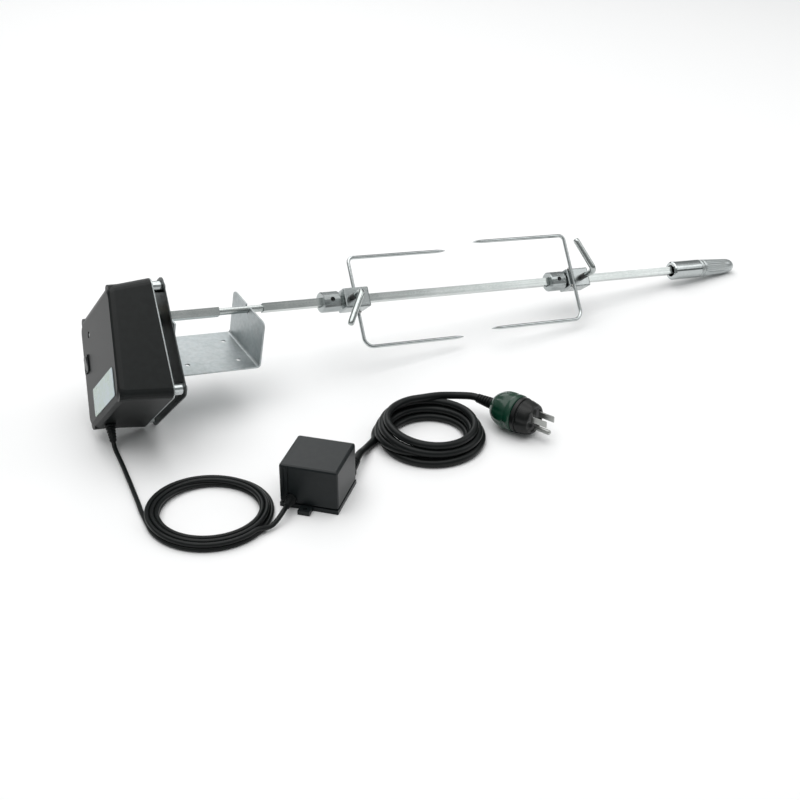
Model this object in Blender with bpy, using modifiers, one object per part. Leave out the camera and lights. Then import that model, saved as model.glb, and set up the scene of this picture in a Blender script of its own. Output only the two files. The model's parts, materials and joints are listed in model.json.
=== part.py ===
"""Rotisserie kit: geared motor, support bracket, spit with two forks, and its low-voltage supply.

Everything is in metres with +Z up. The kit lies on a table at z = 0: the spit slopes down from the motor to
the tip of its handle, and the motor is rolled about the spit. The world's origin is at the middle of the
base of the box round the motor, bracket and spit.
"""
import bmesh
import bpy
from math import asin, cos, pi, radians, sin, sqrt, tan
from mathutils import Euler, Matrix, Vector

# ---------------------------------------------------------------- driving dimensions
GAP = 0.0003                      # room between pieces that touch or fit
ORIGIN = Vector((0.1014, -0.0038, 0.0))  # the plan point that becomes the world's origin

# lie of the kit
SPIT_ROOT_AT = (-0.218, 0.0885)   # where in plan the spit meets the heat shield
MOTOR_REST = -0.0009              # room under the motor's lowest corner, with what the slope takes off
TIP_REST = 0.00723                # height of the axis at the handle's tip
MOTOR_ROLL = radians(42.8)
FORK_TURN = radians(51)
BRACKET_TURN = radians(3)

# motor housing; "v" runs down the housing and "w" across it, both from the spit's axis
PLATE_V = 0.1165
PLATE_W = 0.109
SPIT_TO_TOP = 0.025
SPIT_TO_NEAR = 0.049
CORNER_R = 0.008
PLATE_T = 0.0012
SHIELD_GAP = 0.0099               # clear distance between the heat shield and the base plate
COVER_DEPTH = 0.0456              # rim to the middle of the end face
COVER_SLANT = radians(5.55)
COVER_DRAFT = 0.0035
COVER_WALL = 0.0025
COVER_EDGE = 0.006
POST_INSET = 0.0085
SPACER_R = 0.0055
SCREW_R = 0.002
SCREW_HEAD_R = 0.004
SCREW_HEAD_T = 0.0025

# drive train
MODULE = 0.001
OUTPUT_TEETH = 22
IDLER_PINION_TEETH = 10
IDLER_WHEEL_TEETH = 40
ROTOR_TEETH = 10
MESH_SLACK = 0.00025
SHAFT_R = 0.0075
BUSH_WALL = 0.0018
AXLE_R = 0.0015
CAN_R = 0.0165
CAN_ROOM = 0.0007                 # between the drive motor's back and the cover

# switch, label and cable gland
SWITCH_SIZE = (0.017, 0.012)
SWITCH_AT = (0.0079, 0.0405)
LABEL_SIZE = (0.027, 0.070)
LABEL_AT = (-0.0347, -0.0075)
COVER_SCREW_AT = (0.0327, 0.026)
GLAND_AT = (0.0500, 0.038)        # distance from the heat shield, and across, of the cable gland

# spit
BAR = 0.008
BAR_FIT = 0.0004
BAR_INSERT = 0.022
BAR_LENGTH = 0.662
JOURNAL_R = BAR / 2 - 0.0006
JOURNAL_SPAN = (0.066, 0.112)
HANDLE_COVER = 0.0125             # how far the sleeve reaches back over the bar
HANDLE_START = BAR_LENGTH - BAR_INSERT - HANDLE_COVER
SLEEVE_LENGTH = 0.040
SLEEVE_R = 0.0105
GRIP_LENGTH = 0.0525
GRIP_R = (0.0100, 0.0083)

# forks
FORK_SPREAD = 0.096
TINE_LENGTH = 0.118
TINE_R = 0.0019
BEND_R = (0.006, 0.010)
HUB_SIZE = 0.021
HUB_LENGTH = 0.0285
HUB_LEAD = 0.0045
LEFT_FORK = 0.223
RIGHT_FORK = 0.479
THUMB_BACK = 0.015
THUMB_STEM_R = 0.0027
THUMB_REACH = 0.034
THUMB_LENGTH = 0.040
THUMB_HANDLE_R = 0.0033
LEFT_THUMB_TURN = radians(237.7)
RIGHT_THUMB_TURN = radians(112.7)
COLLAR_R = 0.0105
COLLAR_LENGTH = 0.019
LEFT_COLLAR = 0.176
RIGHT_COLLAR = 0.4535
SET_SCREW_R = 0.0022

# bracket
SHEET = 0.0016
BRACKET_SPAN = (0.0055, 0.098)
BRACKET_DROP = 0.044
BRACKET_NEAR = 0.0405
BRACKET_FAR = 0.0365
BRACKET_RISE = 0.004
BRACKET_HANG = 0.013
BEND = 0.0025
NOTCH_FIT = 0.0003
NOTCH_W = BAR + 2 * NOTCH_FIT
HANG_FIT = 0.00064
HANG_R = BAR / 2 * sqrt(2) + HANG_FIT
BRACKET_HOLE_R = 0.0025

# transformer; "a" runs along its front and "b" out of its front
TRANSFORMER_AT = Vector((-0.1447, -0.116, 0.0))
TRANSFORMER_YAW = radians(-44)
TRANSFORMER_A = 0.054
TRANSFORMER_B = 0.053
TRANSFORMER_H = 0.043
TRANSFORMER_BASE = 0.004
TRANSFORMER_WALL = 0.002
LEAD_IN_A = -0.016
MAINS_OUT_A = 0.020

# cords
LEAD_R = 0.0022
MAINS_R = 0.0037
LEAD_COIL_AT = Vector((-0.2423, -0.1006, 0.0))
LEAD_COIL_R = (0.0412, 0.0570)
LEAD_COIL_H = 0.0086
MAINS_COIL_AT = Vector((-0.0120, -0.0798, 0.0))
MAINS_COIL_R = (0.0324, 0.0553)
MAINS_COIL_H = 0.0206

# plug
PLUG_REAR = Vector((0.0607, -0.0800, 0.0188))
PLUG_YAW = radians(-67.5)
PLUG_R = 0.0185
PLUG_LENGTH = 0.029
FACE_LENGTH = 0.018
BLADE = (0.0172, 0.0063, 0.0015)
BLADE_SPREAD = 0.0127
EARTH_R = 0.0024
RELIEF_LENGTH = 0.020

# derived places along the spit's axis, from the heat shield's outer face
SHIELD_BACK = -PLATE_T
BASE_FRONT = SHIELD_BACK - SHIELD_GAP
BASE_BACK = BASE_FRONT - PLATE_T
COVER_RIM = BASE_BACK - GAP
FACE_MID = COVER_RIM - COVER_DEPTH
MID_V = PLATE_V / 2 - SPIT_TO_TOP
MID_W = PLATE_W / 2 - SPIT_TO_NEAR

# derived lie: the motor stands on its lowest corner, and the spit slopes down to the tip of its handle
MOTOR_DEPTH = ((PLATE_W - SPIT_TO_NEAR - CORNER_R) * sin(MOTOR_ROLL)
               + (PLATE_V - SPIT_TO_TOP - CORNER_R) * cos(MOTOR_ROLL) + CORNER_R)
SPIT_ROOT = Vector((*SPIT_ROOT_AT, MOTOR_DEPTH + MOTOR_REST))
SPIT_TILT = asin((SPIT_ROOT.z - TIP_REST) / (HANDLE_START + SLEEVE_LENGTH + GRIP_LENGTH))


# ---------------------------------------------------------------- scene and finishes
for leftover in list(bpy.data.objects):
    bpy.data.objects.remove(leftover, do_unlink=True)

PARTS = bpy.data.collections.new("rotisserie_kit")
CUTTERS = bpy.data.collections.new("cutters")
bpy.context.scene.collection.children.link(PARTS)
bpy.context.scene.collection.children.link(CUTTERS)


def finish(name, colour, roughness, metallic=0.0):
    """A Principled material."""
    material = bpy.data.materials.new(name)
    material.use_nodes = True
    shader = material.node_tree.nodes["Principled BSDF"]
    shader.inputs["Base Color"].default_value = (*colour, 1.0)
    shader.inputs["Roughness"].default_value = roughness
    shader.inputs["Metallic"].default_value = metallic
    return material


BLACK_PLASTIC = finish("black_plastic", (0.02, 0.022, 0.022), 0.45)
GREY_PLASTIC = finish("grey_plastic", (0.08, 0.09, 0.09), 0.5)
GREEN_PLASTIC = finish("green_plastic", (0.02, 0.08, 0.045), 0.3)
RUBBER = finish("cord_rubber", (0.015, 0.015, 0.016), 0.6)
CHROME = finish("chrome", (0.75, 0.76, 0.76), 0.15, 1.0)
STEEL = finish("bright_steel", (0.62, 0.64, 0.64), 0.28, 1.0)
GALVANISED = finish("galvanised", (0.5, 0.52, 0.53), 0.45, 1.0)
NYLON = finish("nylon", (0.8, 0.78, 0.7), 0.5)
BRASS = finish("brass", (0.72, 0.55, 0.25), 0.3, 1.0)
COPPER = finish("copper", (0.7, 0.35, 0.2), 0.35, 1.0)
LABEL = finish("label", (0.55, 0.62, 0.6), 0.35)


# ---------------------------------------------------------------- shape tools
def frame(name, parent=None, location=(0, 0, 0), rotation=(0, 0, 0)):
    """An empty that carries a sub-assembly."""
    empty = bpy.data.objects.new(name, None)
    PARTS.objects.link(empty)
    empty.parent = parent
    empty.location = location
    empty.rotation_euler = rotation
    return empty


def add(name, data, material, parent, location=(0, 0, 0), rotation=(0, 0, 0)):
    """Put a mesh or curve into the kit as a named piece."""
    piece = bpy.data.objects.new(name, data)
    PARTS.objects.link(piece)
    piece.parent = parent
    piece.location = location
    piece.rotation_euler = rotation
    if material:
        data.materials.append(material)
    return piece


def box_mesh(name, size, centre=(0, 0, 0)):
    """A box's mesh."""
    mesh = bpy.data.meshes.new(name)
    bm = bmesh.new()
    bmesh.ops.create_cube(bm, size=1.0)
    bmesh.ops.scale(bm, vec=Vector(size), verts=bm.verts)
    bmesh.ops.translate(bm, vec=Vector(centre), verts=bm.verts)
    bm.to_mesh(mesh)
    bm.free()
    return mesh


def rod_mesh(name, radius, start, end, sides=16, end_radius=None, smooth=True):
    """A cylinder's or cone's mesh along local Z from start to end."""
    mesh = bpy.data.meshes.new(name)
    bm = bmesh.new()
    top = radius if end_radius is None else end_radius
    bmesh.ops.create_cone(bm, cap_ends=True, segments=sides, radius1=radius, radius2=top, depth=end - start)
    bmesh.ops.translate(bm, vec=(0, 0, (start + end) / 2), verts=bm.verts)
    bm.to_mesh(mesh)
    bm.free()
    if smooth:
        round_shade(mesh)
    return mesh


def round_shade(mesh):
    """Smooth round sides and keep edges over 35 degrees sharp."""
    mesh.shade_smooth()
    mesh.set_sharp_from_angle(angle=radians(35))


def outline_curve(name, outlines, thickness, start=0.0):
    """A flat outline with holes, as thick as asked, its faces normal to local Z from start upwards."""
    curve = bpy.data.curves.new(name, "CURVE")
    curve.dimensions = "2D"
    curve.fill_mode = "BOTH"
    curve.extrude = thickness / 2
    for points in outlines:
        spline = curve.splines.new("POLY")
        spline.points.add(len(points) - 1)
        for point, (x, y) in zip(spline.points, points):
            point.co = (x, y, 0, 1)
        spline.use_cyclic_u = True
    mesh = curve_to_mesh(name, curve)
    mesh.transform(matrix_move((0, 0, start + thickness / 2)))
    return mesh


def matrix_move(offset):
    """A translation."""
    return Matrix.Translation(Vector(offset))


def curve_to_mesh(name, curve):
    """The welded mesh of a curve."""
    carrier = bpy.data.objects.new(name + "_carrier", curve)
    bpy.context.scene.collection.objects.link(carrier)
    evaluated = carrier.evaluated_get(bpy.context.evaluated_depsgraph_get())
    mesh = bpy.data.meshes.new_from_object(evaluated)
    bpy.data.objects.remove(carrier, do_unlink=True)
    bm = bmesh.new()
    bm.from_mesh(mesh)
    bmesh.ops.remove_doubles(bm, verts=bm.verts, dist=0.00001)
    bm.to_mesh(mesh)
    bm.free()
    mesh.name = name
    return mesh


def tube_mesh(name, points, radius, resolution=2, radii=None):
    """A closed tube along points."""
    curve = bpy.data.curves.new(name, "CURVE")
    curve.dimensions = "3D"
    curve.bevel_depth = radius
    curve.bevel_resolution = resolution
    curve.use_fill_caps = True
    spline = curve.splines.new("POLY")
    spline.points.add(len(points) - 1)
    for index, (point, co) in enumerate(zip(spline.points, points)):
        point.co = (*co, 1)
        point.radius = radii[index] if radii else 1.0
    mesh = curve_to_mesh(name, curve)
    mesh.shade_smooth()
    return mesh


def turned(name, profile, material, parent, location=(0, 0, 0), rotation=(0, 0, 0), steps=32):
    """A solid turned about local Z from (radius, height) points, listed from the top down the outer side."""
    mesh = bpy.data.meshes.new(name)
    mesh.from_pydata([(r, 0, z) for r, z in profile], [(i, i + 1) for i in range(len(profile) - 1)], [])
    piece = add(name, mesh, material, parent, location, rotation)
    screw = piece.modifiers.new("turn", "SCREW")
    screw.steps = steps
    screw.render_steps = steps
    screw.use_merge_vertices = True
    screw.merge_threshold = 0.00001
    screw.use_smooth_shade = True
    return piece


def ring_profile(inner, outer, low, high, chamfer):
    """The closed section of a ring with chamfered edges, down its outer side and back up its bore."""
    return [(inner + chamfer, high), (outer - chamfer, high), (outer, high - chamfer), (outer, low + chamfer),
            (outer - chamfer, low), (inner + chamfer, low), (inner, low + chamfer), (inner, high - chamfer),
            (inner + chamfer, high)]


def cut(piece, mesh, parent, location=(0, 0, 0), rotation=(0, 0, 0), operation="DIFFERENCE"):
    """Cut or join a mesh into a piece with a Boolean."""
    cutter = bpy.data.objects.new(piece.name + "_cutter", mesh)
    CUTTERS.objects.link(cutter)
    cutter.parent = parent
    cutter.location = location
    cutter.rotation_euler = rotation
    cutter.hide_render = True
    cutter.display_type = "WIRE"
    boolean = piece.modifiers.new("boolean", "BOOLEAN")
    boolean.operation = operation
    boolean.solver = "EXACT"
    boolean.object = cutter


def bevel(piece, width, segments=1, angle=40):
    """Round a piece's sharp edges."""
    modifier = piece.modifiers.new("edges", "BEVEL")
    modifier.width = width
    modifier.segments = segments
    modifier.limit_method = "ANGLE"
    modifier.angle_limit = radians(angle)


def rounded_rectangle(size_x, size_y, radius, centre=(0, 0), steps=4):
    """The corner-rounded outline of a rectangle, anticlockwise."""
    points = []
    for quarter, (sx, sy) in enumerate(((1, 1), (-1, 1), (-1, -1), (1, -1))):
        for step in range(steps + 1):
            angle = (quarter + step / steps) * pi / 2
            x = centre[0] + sx * (size_x / 2 - radius) + radius * cos(angle)
            y = centre[1] + sy * (size_y / 2 - radius) + radius * sin(angle)
            points.append((x, y))
    return points


def circle(radius, centre=(0, 0), sides=16):
    """The outline of a round hole or disc."""
    return [(centre[0] + radius * cos(2 * pi * i / sides), centre[1] + radius * sin(2 * pi * i / sides))
            for i in range(sides)]


def gear_outline(teeth, turn, centre=(0, 0)):
    """A spur gear's outline with straight-flanked teeth, one of them centred on the angle given."""
    pitch = MODULE * teeth / 2
    points = []
    for tooth in range(teeth):
        middle = turn + 2 * pi * tooth / teeth
        for radius, share in ((pitch - 1.15 * MODULE, -0.37), (pitch + 0.8 * MODULE, -0.12),
                              (pitch + 0.8 * MODULE, 0.12), (pitch - 1.15 * MODULE, 0.37)):
            angle = middle + share * pi / teeth * 1.6
            points.append((centre[0] + radius * cos(angle), centre[1] + radius * sin(angle)))
    return points


def smooth_route(points, spacing):
    """Even points along a smooth curve through a route's own points."""
    route = [Vector(p) for p in points]
    ends = [2 * route[0] - route[1], *route, 2 * route[-1] - route[-2]]
    dense = []
    for i in range(1, len(ends) - 2):
        p0, p1, p2, p3 = ends[i - 1:i + 3]
        for step in range(12):
            t = step / 12
            dense.append(0.5 * (2 * p1 + (p2 - p0) * t + (2 * p0 - 5 * p1 + 4 * p2 - p3) * t * t
                                + (3 * p1 - p0 - 3 * p2 + p3) * t ** 3))
    dense.append(route[-1])
    total = sum((b - a).length for a, b in zip(dense, dense[1:]))
    count = max(2, round(total / spacing))
    even = [dense[0]]
    walked = 0.0
    for a, b in zip(dense, dense[1:]):
        step = (b - a).length
        while len(even) < count and walked + step >= total * len(even) / count:
            even.append(a.lerp(b, (total * len(even) / count - walked) / step))
        walked += step
    even.append(dense[-1])
    return even


ALONG_X = (0, pi / 2, 0)          # turns local Z to the spit's direction, and local X to "v"

WORLD = frame("kit", location=-ORIGIN)
AXIS = frame("spit_axis", WORLD, SPIT_ROOT, (0, SPIT_TILT, 0))
MOTOR = frame("motor_frame", AXIS, rotation=(-MOTOR_ROLL, 0, 0))
SPIT = frame("spit_frame", AXIS, rotation=(FORK_TURN, 0, 0))
BRACKET = frame("bracket_frame", AXIS, rotation=(BRACKET_TURN, 0, 0))
END_FACE = frame("end_face_frame", MOTOR, (FACE_MID, MID_W, -MID_V), (0, COVER_SLANT - pi / 2, 0))
POSTS = [(v, w) for v in (POST_INSET - SPIT_TO_TOP, PLATE_V - SPIT_TO_TOP - POST_INSET)
         for w in (POST_INSET - SPIT_TO_NEAR, PLATE_W - SPIT_TO_NEAR - POST_INSET)]


# ---------------------------------------------------------------- motor housing
def plate_outline():
    """The outline of the base plate and the heat shield, in (v, w)."""
    return rounded_rectangle(PLATE_V, PLATE_W, CORNER_R, (MID_V, MID_W), 5)


def build_plates():
    """The base plate that closes the housing, and the heat shield on its spacers."""
    post_holes = [circle(SCREW_R + GAP, post, 12) for post in POSTS]
    bush_hole = circle(SHAFT_R + GAP + BUSH_WALL + GAP, sides=24)
    axle_hole = circle(AXLE_R + GAP, (idler_v(), 0), 12)
    base = outline_curve("motor_base_plate", [plate_outline(), bush_hole, axle_hole, *post_holes], PLATE_T)
    add("motor_base_plate", base, STEEL, MOTOR, (BASE_BACK, 0, 0), ALONG_X)
    shaft_hole = circle(SHAFT_R + 0.002, sides=24)
    shield = outline_curve("heat_shield_plate", [plate_outline(), shaft_hole, *post_holes], PLATE_T)
    add("heat_shield_plate", shield, STEEL, MOTOR, (SHIELD_BACK, 0, 0), ALONG_X)
    spacer = outline_curve("spacer", [circle(SPACER_R), circle(SCREW_R + GAP, sides=12)],
                           SHIELD_GAP - 2 * GAP)
    round_shade(spacer)
    shank = GAP - BASE_BACK + 0.007
    for index, (v, w) in enumerate(POSTS, 1):
        add(f"spacer_{index}", spacer.copy(), CHROME, MOTOR, (BASE_FRONT + GAP, w, -v), ALONG_X)
        profile = [(0, SCREW_HEAD_T), (SCREW_HEAD_R * 0.7, SCREW_HEAD_T), (SCREW_HEAD_R, SCREW_HEAD_T * 0.5),
                   (SCREW_HEAD_R, 0), (SCREW_R, 0), (SCREW_R, -shank), (0, -shank)]
        turned(f"shield_screw_{index}", profile, STEEL, MOTOR, (GAP, w, -v), ALONG_X, 16)


def cover_ring(inset, setback):
    """One section of the cover: its outline drawn in by inset, and setback short of the end face."""
    outline = rounded_rectangle(PLATE_V - 2 * inset, PLATE_W - 2 * inset * 0.35, CORNER_R, (MID_V, MID_W), 5)
    return [Vector((FACE_MID + setback - (v - MID_V) * tan(COVER_SLANT), w, -v)) for v, w in outline]


def build_cover():
    """The moulded cover: a drafted box with a slanted end face and four screw posts inside."""
    rim = [Vector((COVER_RIM, w, -v)) for v, w in plate_outline()]
    edge = COVER_EDGE
    rings = [rim, cover_ring(COVER_DRAFT, edge), cover_ring(COVER_DRAFT + edge * 0.29, edge * 0.29),
             cover_ring(COVER_DRAFT + edge, 0)]
    bm = bmesh.new()
    loops = [[bm.verts.new(co) for co in ring] for ring in rings]
    count = len(rim)
    for near, far in zip(loops, loops[1:]):
        for i in range(count):
            bm.faces.new((near[i], far[i], far[(i + 1) % count], near[(i + 1) % count]))
    bm.faces.new(loops[-1])
    bmesh.ops.recalc_face_normals(bm, faces=bm.faces)
    mesh = bpy.data.meshes.new("motor_cover")
    bm.to_mesh(mesh)
    bm.free()
    cover = add("motor_cover", mesh, BLACK_PLASTIC, MOTOR)
    shell = cover.modifiers.new("wall", "SOLIDIFY")
    shell.thickness = COVER_WALL
    shell.offset = -1
    shell.use_even_offset = True
    for v, w in POSTS:
        floor = FACE_MID - (v - MID_V) * tan(COVER_SLANT) + COVER_WALL / 2
        post = rod_mesh("cover_post", SPACER_R, floor, COVER_RIM, 12)
        cut(cover, post, MOTOR, (0, w, -v), ALONG_X, "UNION")
    for v, w in POSTS:
        bore = rod_mesh("cover_bore", SCREW_R + GAP, COVER_RIM - 0.009, COVER_RIM + 0.001, 12)
        cut(cover, bore, MOTOR, (0, w, -v), ALONG_X)
    length, width = SWITCH_SIZE
    opening = box_mesh("switch_opening", (length - 0.002, width - 0.002, 0.01))
    cut(cover, opening, END_FACE, (*SWITCH_AT, 0))
    hole = rod_mesh("screw_hole", 0.0032, -0.01, 0.01, 14)
    cut(cover, hole, END_FACE, (*COVER_SCREW_AT, 0))
    gland = rod_mesh("gland_hole", 0.0045, 0, 0.01, 14)
    cut(cover, gland, MOTOR, (-GLAND_AT[0], GLAND_AT[1], -(PLATE_V - SPIT_TO_TOP)))
    catch = box_mesh("cord_catch", (0.011, 0.008, 0.012))
    cut(cover, catch, MOTOR, (FACE_MID + 0.007, PLATE_W - SPIT_TO_NEAR - 0.0005, -0.0555), operation="UNION")
    turned("cover_screw", [(0, 0.0008), (0.0018, 0.0008), (0.0028, 0.0002), (0.0028, -0.0012), (0.0014, -0.0012),
                           (0.0014, -0.012), (0, -0.012)], STEEL, END_FACE, (*COVER_SCREW_AT, -0.0014), steps=14)
    label = outline_curve("label_plate", [rounded_rectangle(*LABEL_SIZE, 0.002, steps=2)], 0.0005)
    add("label_plate", label, LABEL, END_FACE, (*LABEL_AT, GAP))


def build_switch():
    """The rocker switch: a bezel in the end face, and its rocker on a pivot across it."""
    length, width = SWITCH_SIZE
    wall = 0.0014
    bezel = outline_curve("switch_bezel", [rounded_rectangle(length, width, 0.001, steps=2),
                                           rounded_rectangle(length - 2 * wall, width - 2 * wall, 0.0004,
                                                             steps=1)], 0.0012)
    add("switch_bezel", bezel, BLACK_PLASTIC, END_FACE, (*SWITCH_AT, GAP))
    room = 0.0006
    half = length / 2 - wall - room
    rise = 0.0024
    top = [(-half, 0.0008), (-half * 0.15, rise * 0.75), (half, rise)]
    side = [*top, (half * 0.55, -0.004), (-half * 0.55, -0.004)]
    rocker = outline_curve("switch_rocker", [side], width - 2 * wall - 2 * room)
    spot = (SWITCH_AT[0], SWITCH_AT[1] + (width - 2 * wall - 2 * room) / 2, 0)
    piece = add("switch_rocker", rocker, GREY_PLASTIC, END_FACE, spot, (pi / 2, 0, 0))
    bevel(piece, 0.0003)


def idler_v():
    """How far below the spit's axis the idler's axle is."""
    return MODULE * (OUTPUT_TEETH + IDLER_PINION_TEETH) / 2 + MESH_SLACK


def rotor_v():
    """How far below the spit's axis the rotor's shaft is."""
    return idler_v() + MODULE * (IDLER_WHEEL_TEETH + ROTOR_TEETH) / 2 + MESH_SLACK


def inner_face(v):
    """How far back the inside of the cover's end face is at v."""
    return FACE_MID - (v - MID_V) * tan(COVER_SLANT) + COVER_WALL / cos(COVER_SLANT)


def build_drive():
    """The gear train: rotor pinion, compound idler, and the output gear with the spit's square socket."""
    socket = box_mesh("socket_bore", (BAR + 2 * BAR_FIT, BAR + 2 * BAR_FIT, 0.06), (0, 0, 0.03 - 0.0245))
    output = outline_curve("output_drive", [gear_outline(OUTPUT_TEETH, 0)], 0.006, -0.0245)
    drive = add("output_drive", output, STEEL, MOTOR, rotation=ALONG_X)
    cut(drive, rod_mesh("output_shaft", SHAFT_R, -0.0262, 0.0015, 24), MOTOR, rotation=ALONG_X,
        operation="UNION")
    cut(drive, socket, SPIT, (0.0005, 0, 0), ALONG_X)
    inner = SHAFT_R + GAP
    outer = inner + BUSH_WALL
    flange = outer + 0.002
    turned("output_bush", [(inner, BASE_FRONT + 0.0015), (flange, BASE_FRONT + 0.0015),
                           (flange, BASE_FRONT + GAP), (outer, BASE_FRONT + GAP), (outer, BASE_BACK - 0.001),
                           (inner, BASE_BACK - 0.001), (inner, BASE_FRONT + 0.0015)], BRASS, MOTOR,
           rotation=ALONG_X, steps=24)
    pinion = outline_curve("idler_gear", [gear_outline(IDLER_PINION_TEETH, pi / IDLER_PINION_TEETH + pi)],
                           0.0115, -0.0285)
    idler = add("idler_gear", pinion, NYLON, MOTOR, (0, 0, -idler_v()), ALONG_X)
    wheel = outline_curve("idler_wheel", [gear_outline(IDLER_WHEEL_TEETH, 0)], 0.005, -0.033)
    cut(idler, wheel, MOTOR, (0, 0, -idler_v()), ALONG_X, "UNION")
    cut(idler, rod_mesh("idler_bore", AXLE_R + GAP, -0.04, 0, 12), MOTOR, (0, 0, -idler_v()), ALONG_X)
    axle = rod_mesh("idler_axle", AXLE_R, -0.0395, BASE_FRONT + 0.0012, 12)
    add("idler_axle", axle, STEEL, MOTOR, (0, 0, -idler_v()), ALONG_X)
    shaft = outline_curve("rotor", [gear_outline(ROTOR_TEETH, pi / ROTOR_TEETH + pi)], 0.0065, -0.0338)
    rotor = add("rotor", shaft, STEEL, MOTOR, (0, 0, -rotor_v()), ALONG_X)
    cut(rotor, rod_mesh("rotor_shaft", AXLE_R, -0.048, -0.026, 12), MOTOR, (0, 0, -rotor_v()), ALONG_X, "UNION")
    front = -0.0387
    back = inner_face(rotor_v() - CAN_R) + CAN_ROOM
    can = add("drive_motor", rod_mesh("drive_motor", CAN_R, back, front, 28), STEEL, MOTOR,
              (0, 0, -rotor_v()), ALONG_X)
    bevel(can, 0.001, 2)
    cut(can, rod_mesh("can_bore", AXLE_R + GAP, -0.0495, -0.03, 12), MOTOR, (0, 0, -rotor_v()), ALONG_X)


def build_gear_frame():
    """The frame that carries the drive motor and the idler's axle, on four posts from the base plate."""
    reach = 0.023
    rows = (-0.003, rotor_v() + 0.0215)
    middle = (sum(rows) / 2, 0)
    length = rows[1] - rows[0] + 0.008
    holes = [circle(AXLE_R + GAP, (idler_v(), 0), 12), circle(0.004, (rotor_v(), 0), 12)]
    plate = outline_curve("gear_frame", [rounded_rectangle(length, 2 * reach + 0.008, 0.003, middle, 2), *holes],
                          0.0015, -0.0384)
    piece = add("gear_frame", plate, GALVANISED, MOTOR, rotation=ALONG_X)
    for v in rows:
        for w in (-reach, reach):
            post = rod_mesh("frame_post", 0.0025, -0.0375, BASE_BACK - GAP, 10)
            cut(piece, post, MOTOR, (0, w, -v), ALONG_X, "UNION")


def build_motor_gland():
    """The tapered strain relief where the low-voltage lead leaves the housing."""
    profile = [(0, 0.004), (0.0041, 0.004), (0.0041, -0.0009), (0.0062, -0.0009), (0.0062, -0.0022),
               (0.0044, -0.0026), (0.0030, -0.0160), (0, -0.0160)]
    turned("motor_gland", profile, RUBBER, MOTOR, gland_root(), steps=16)


def gland_root():
    """Where the motor's gland sits on the housing's bottom wall."""
    share = (GLAND_AT[0] + COVER_RIM) / COVER_DEPTH
    return (-GLAND_AT[0], GLAND_AT[1], SPIT_TO_TOP - PLATE_V + COVER_DRAFT * share)


# ---------------------------------------------------------------- bracket
def build_bracket():
    """The bent sheet bracket: a hole for the spit in one flange, and an open notch in the other."""
    left, right = BRACKET_SPAN
    outer = [(left, BRACKET_HANG), *bend_arc(left, -BRACKET_DROP, 1, BEND + SHEET),
             *reversed(bend_arc(right, -BRACKET_DROP, -1, BEND + SHEET)), (right, BRACKET_RISE)]
    inner = [(right - SHEET, BRACKET_RISE), *bend_arc(right - SHEET, SHEET - BRACKET_DROP, -1, BEND),
             *reversed(bend_arc(left + SHEET, SHEET - BRACKET_DROP, 1, BEND)), (left + SHEET, BRACKET_HANG)]
    width = BRACKET_NEAR + BRACKET_FAR
    sheet = outline_curve("support_bracket", [outer + inner], width)
    piece = add("support_bracket", sheet, GALVANISED, BRACKET, (0, BRACKET_FAR, 0), (pi / 2, 0, 0))
    notch = box_mesh("notch", (0.01, NOTCH_W, 0.02), (right, 0, 0.01))
    cut(piece, notch, BRACKET)
    cut(piece, rod_mesh("notch_foot", NOTCH_W / 2, right - 0.005, right + 0.005, 20), BRACKET, rotation=ALONG_X)
    cut(piece, rod_mesh("hang_hole", HANG_R, left - 0.005, left + 0.005, 24), BRACKET, rotation=ALONG_X)
    for x in (left + 0.024, right - 0.016):
        for y in (-0.022, 0.018):
            hole = rod_mesh("base_hole", BRACKET_HOLE_R, -0.01, 0.01, 12)
            cut(piece, hole, BRACKET, (x, y, -BRACKET_DROP))
    corner = 0.005
    for y, side in ((-BRACKET_NEAR, 1), (BRACKET_FAR, -1)):
        nip = corner_nip(corner, side)
        cut(piece, outline_curve("corner_nip", [nip], 0.01), BRACKET,
            (right - 0.005, y, BRACKET_RISE), (pi / 2, 0, pi / 2))


def bend_arc(x, z, side, radius):
    """The outline of a bend at a sheet corner, from the flange down to the base."""
    centre = (x + side * radius, z + radius)
    return [(centre[0] - side * radius * cos(a), centre[1] - radius * sin(a))
            for a in (0, pi / 6, pi / 3, pi / 2)]


def corner_nip(radius, side):
    """What is cut from a flange's square corner to round it."""
    arc = [(side * radius * (1 - cos(a)), radius * (sin(a) - 1)) for a in (0, pi / 6, pi / 3, pi / 2)]
    spare = 0.002
    points = [*arc, (side * radius, spare), (-side * spare, spare), (-side * spare, -radius)]
    return points if side < 0 else list(reversed(points))


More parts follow.
